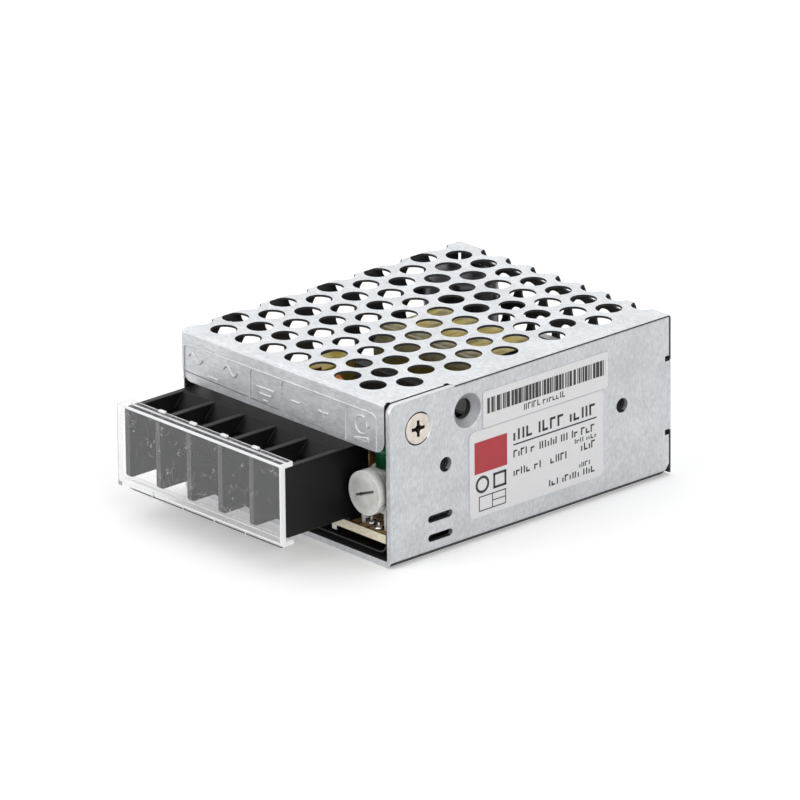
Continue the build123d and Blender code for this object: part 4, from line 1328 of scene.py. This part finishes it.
class SUPPLY_OT_board(bpy.types.Operator):
    """Board, film, fixing screws and solder joints"""
    bl_idname = "supply.board"
    bl_label = "Board"

    def execute(self, context):
        board = softened("circuit_board", "laminate_board", 0.06, 1, 40)
        mark(board, "edge", lambda middle, normal: abs(normal.z) < 0.5)
        settle(board, "case", finish_of("tan_board"), "tan_board", "circuit_board")
        dress("black_film", "insulation_film")
        dress("plated_steel", "board_screws", "heatsink_screws")
        bpy.ops.mesh.primitive_uv_sphere_add(
            segments=32, ring_count=16, radius=SOLDER_RADIUS * MM,
            location=in_metres((0, FRONT, board_high.z + 0.12)), scale=(1, 1, SOLDER_FLAT))
        blob = placed("blob")
        pin = rod("pin", "Z", (0, FRONT, board_high.z + 0.5), PIN_RADIUS, PIN_LONG, 16)
        joints = spread(joined("joint", [blob, pin]), [(x, place, 0) for x, place in SOLDER_PLACES])
        settle(joined("solder_joints", joints), "case", finish_of("solder"), "plated_steel", angle=60)
        return {"FINISHED"}


class SUPPLY_OT_inner_parts(bpy.types.Operator):
    """Finishes of the parts that show through the perforated sheet"""
    bl_idname = "supply.inner_parts"
    bl_label = "Inner parts"

    def execute(self, context):
        for slot, nodes in (
                ("ferrite", ("transformer_cores", "choke_core", "inductor_core")),
                ("dark_bobbin", ("transformer_bobbin",)),
                ("yellow_tape", ("transformer_winding",)),
                ("copper_wire", ("choke_windings", "inductor_winding")),
                ("bare_aluminium", ("switch_heatsink", "diode_heatsink")),
                ("black_epoxy", ("switch_transistor", "output_diode", "bridge_rectifier", "control_chip",
                                 "optocoupler")),
                ("fuse_body", ("fuse",)),
                ("disc_green", ("inrush_thermistor",)),
                ("yellow_box", ("x_capacitor",)),
                ("can_sleeve", ("bulk_capacitor", "supply_capacitor", "output_capacitor_1",
                                "output_capacitor_2")),
                ("red_box", ("snubber_capacitor",)),
                ("disc_blue", ("y_capacitor",)),
                ("resistor_body", ("resistor_1", "resistor_2", "resistor_3", "resistor_4"))):
            dress(slot, *nodes)
        return {"FINISHED"}


# Stage

CAMERA_TARGET = (0.0, FRONT, TOP / 2)
CAMERA_OFFSET = (18.743, 7.749, 1507.074)
FLOOR_SIZE = 6.0


def camera_frame(settings):
    """The camera's right, up and back directions."""
    turn, lift = settings.azimuth, settings.elevation
    back = Vector((math.sin(turn) * math.cos(lift), -math.cos(turn) * math.cos(lift), math.sin(lift)))
    right = Vector((math.cos(turn), math.sin(turn), 0))
    up = back.cross(right)
    cosine, sine = math.cos(settings.roll), math.sin(settings.roll)
    return cosine * right + sine * up, cosine * up - sine * right, back


def add_camera(settings):
    right, up, back = camera_frame(settings)
    across, above, away = CAMERA_OFFSET
    place = in_metres(Vector(CAMERA_TARGET) + across * right + above * up + away * back)
    bpy.ops.object.camera_add(location=place)
    camera = bpy.context.object
    camera.name = "photo_camera"
    turn = Matrix((right, up, back)).transposed()
    camera.matrix_world = Matrix.Translation(place) @ turn.to_4x4()
    camera.data.lens = settings.lens
    camera.data.sensor_width = 36
    camera.data.clip_start = 0.05
    bpy.context.scene.camera = camera


def add_panel(name, place, aim, size, power):
    """Soft rectangular lamp that faces a point."""
    bpy.ops.object.light_add(type="AREA", location=place)
    lamp = bpy.context.object
    lamp.name = name
    lamp.data.shape = "RECTANGLE"
    lamp.data.size, lamp.data.size_y = size
    lamp.data.energy = power
    lamp.rotation_euler = (Vector(place) - Vector(aim)).to_track_quat("Z", "Y").to_euler()


def white_unless_lit(tree, plain, strength):
    """A background strength for light, and plain white for camera, mirror and glass rays."""
    path = tree.nodes.new("ShaderNodeLightPath")
    seen = path.outputs["Is Camera Ray"]
    for kind in ("Is Glossy Ray", "Is Transmission Ray"):
        either = tree.nodes.new("ShaderNodeMath")
        either.operation = "MAXIMUM"
        tree.links.new(seen, either.inputs[0])
        tree.links.new(path.outputs[kind], either.inputs[1])
        seen = either.outputs[0]
    mix = tree.nodes.new("ShaderNodeMix")
    mix.inputs[2].default_value = strength
    mix.inputs[3].default_value = plain
    tree.links.new(seen, mix.inputs[0])
    return mix.outputs[0]


def add_world(settings):
    world = bpy.data.worlds.new("studio")
    bpy.context.scene.world = world
    world.use_nodes = True
    tree = world.node_tree
    background = tree.nodes["Background"]
    background.inputs["Color"].default_value = (1, 1, 1, 1)
    tree.links.new(white_unless_lit(tree, 1.0, settings.room), background.inputs["Strength"])


def add_floor():
    bpy.ops.mesh.primitive_plane_add(size=FLOOR_SIZE, location=(0, 0, -0.0001))
    floor = placed("floor")
    with edit(floor):
        bpy.ops.mesh.subdivide(number_cuts=3)
    material = bpy.data.materials.new("floor_paper")
    material.use_nodes = True
    tree = material.node_tree
    shader = tree.nodes["Principled BSDF"]
    shader.inputs["Base Color"].default_value = (0.95, 0.95, 0.95, 1)
    shader.inputs["Roughness"].default_value = 0.8
    shader.inputs["Specular IOR Level"].default_value = 0.1
    shader.inputs["Emission Color"].default_value = (1, 1, 1, 1)
    tree.links.new(white_unless_lit(tree, 0.2, 0.0), shader.inputs["Emission Strength"])
    floor.data.materials.append(material)


class SUPPLY_OT_stage(bpy.types.Operator):
    """Pale floor, soft light and the camera of the photograph"""
    bl_idname = "supply.stage"
    bl_label = "Stage"

    def execute(self, context):
        settings = context.scene.supply_stage
        add_camera(settings)
        add_world(settings)
        add_floor()
        power = settings.key_power
        add_panel("overhead_panel", (-0.25, 0.25, 1.1), (0, 0, 0), (2.2, 2.2), power * 1.2)
        add_panel("side_panel", (1.3, -0.25, 0.55), (0, 0, 0.01), (0.9, 0.9), power * 0.6)
        add_panel("front_panel", (-0.5, -1.3, 0.5), (0, 0, 0.01), (0.9, 0.7), power * 0.65)
        context.scene.view_settings.view_transform = "Standard"
        return {"FINISHED"}


class SUPPLY_PT_panel(bpy.types.Panel):
    """Sizes, colours and steps of the supply"""
    bl_idname = "SUPPLY_PT_panel"
    bl_label = "Mesh case supply"
    bl_space_type = "VIEW_3D"
    bl_region_type = "UI"
    bl_category = "Supply"

    def draw(self, context):
        for group in (context.scene.supply_sheet, context.scene.supply_colours, context.scene.supply_stage):
            for name in group.__annotations__:
                self.layout.prop(group, name)
        for operator in OPERATORS:
            self.layout.operator(operator.bl_idname)


OPERATORS = (
    SUPPLY_OT_stage, SUPPLY_OT_cover, SUPPLY_OT_signs, SUPPLY_OT_chassis, SUPPLY_OT_cover_screw,
    SUPPLY_OT_labels, SUPPLY_OT_terminal_block, SUPPLY_OT_terminal_screws, SUPPLY_OT_clear_cover,
    SUPPLY_OT_dial, SUPPLY_OT_lamp, SUPPLY_OT_board, SUPPLY_OT_inner_parts)
CLASSES = (SheetSizes, FinishColours, StageSettings, *OPERATORS, SUPPLY_PT_panel)


def register():
    for one in CLASSES:
        bpy.utils.register_class(one)
    bpy.types.Scene.supply_sheet = bpy.props.PointerProperty(type=SheetSizes)
    bpy.types.Scene.supply_colours = bpy.props.PointerProperty(type=FinishColours)
    bpy.types.Scene.supply_stage = bpy.props.PointerProperty(type=StageSettings)


def unregister():
    del bpy.types.Scene.supply_stage
    del bpy.types.Scene.supply_colours
    del bpy.types.Scene.supply_sheet
    for one in reversed(CLASSES):
        bpy.utils.unregister_class(one)


def main():
    register()
    bpy.ops.object.select_all(action="DESELECT")
    make_materials(bpy.context.scene.supply_colours)
    for operator in OPERATORS:
        group, name = operator.bl_idname.split(".")
        getattr(getattr(bpy.ops, group), name)()


if __name__ == "__main__":
    main()
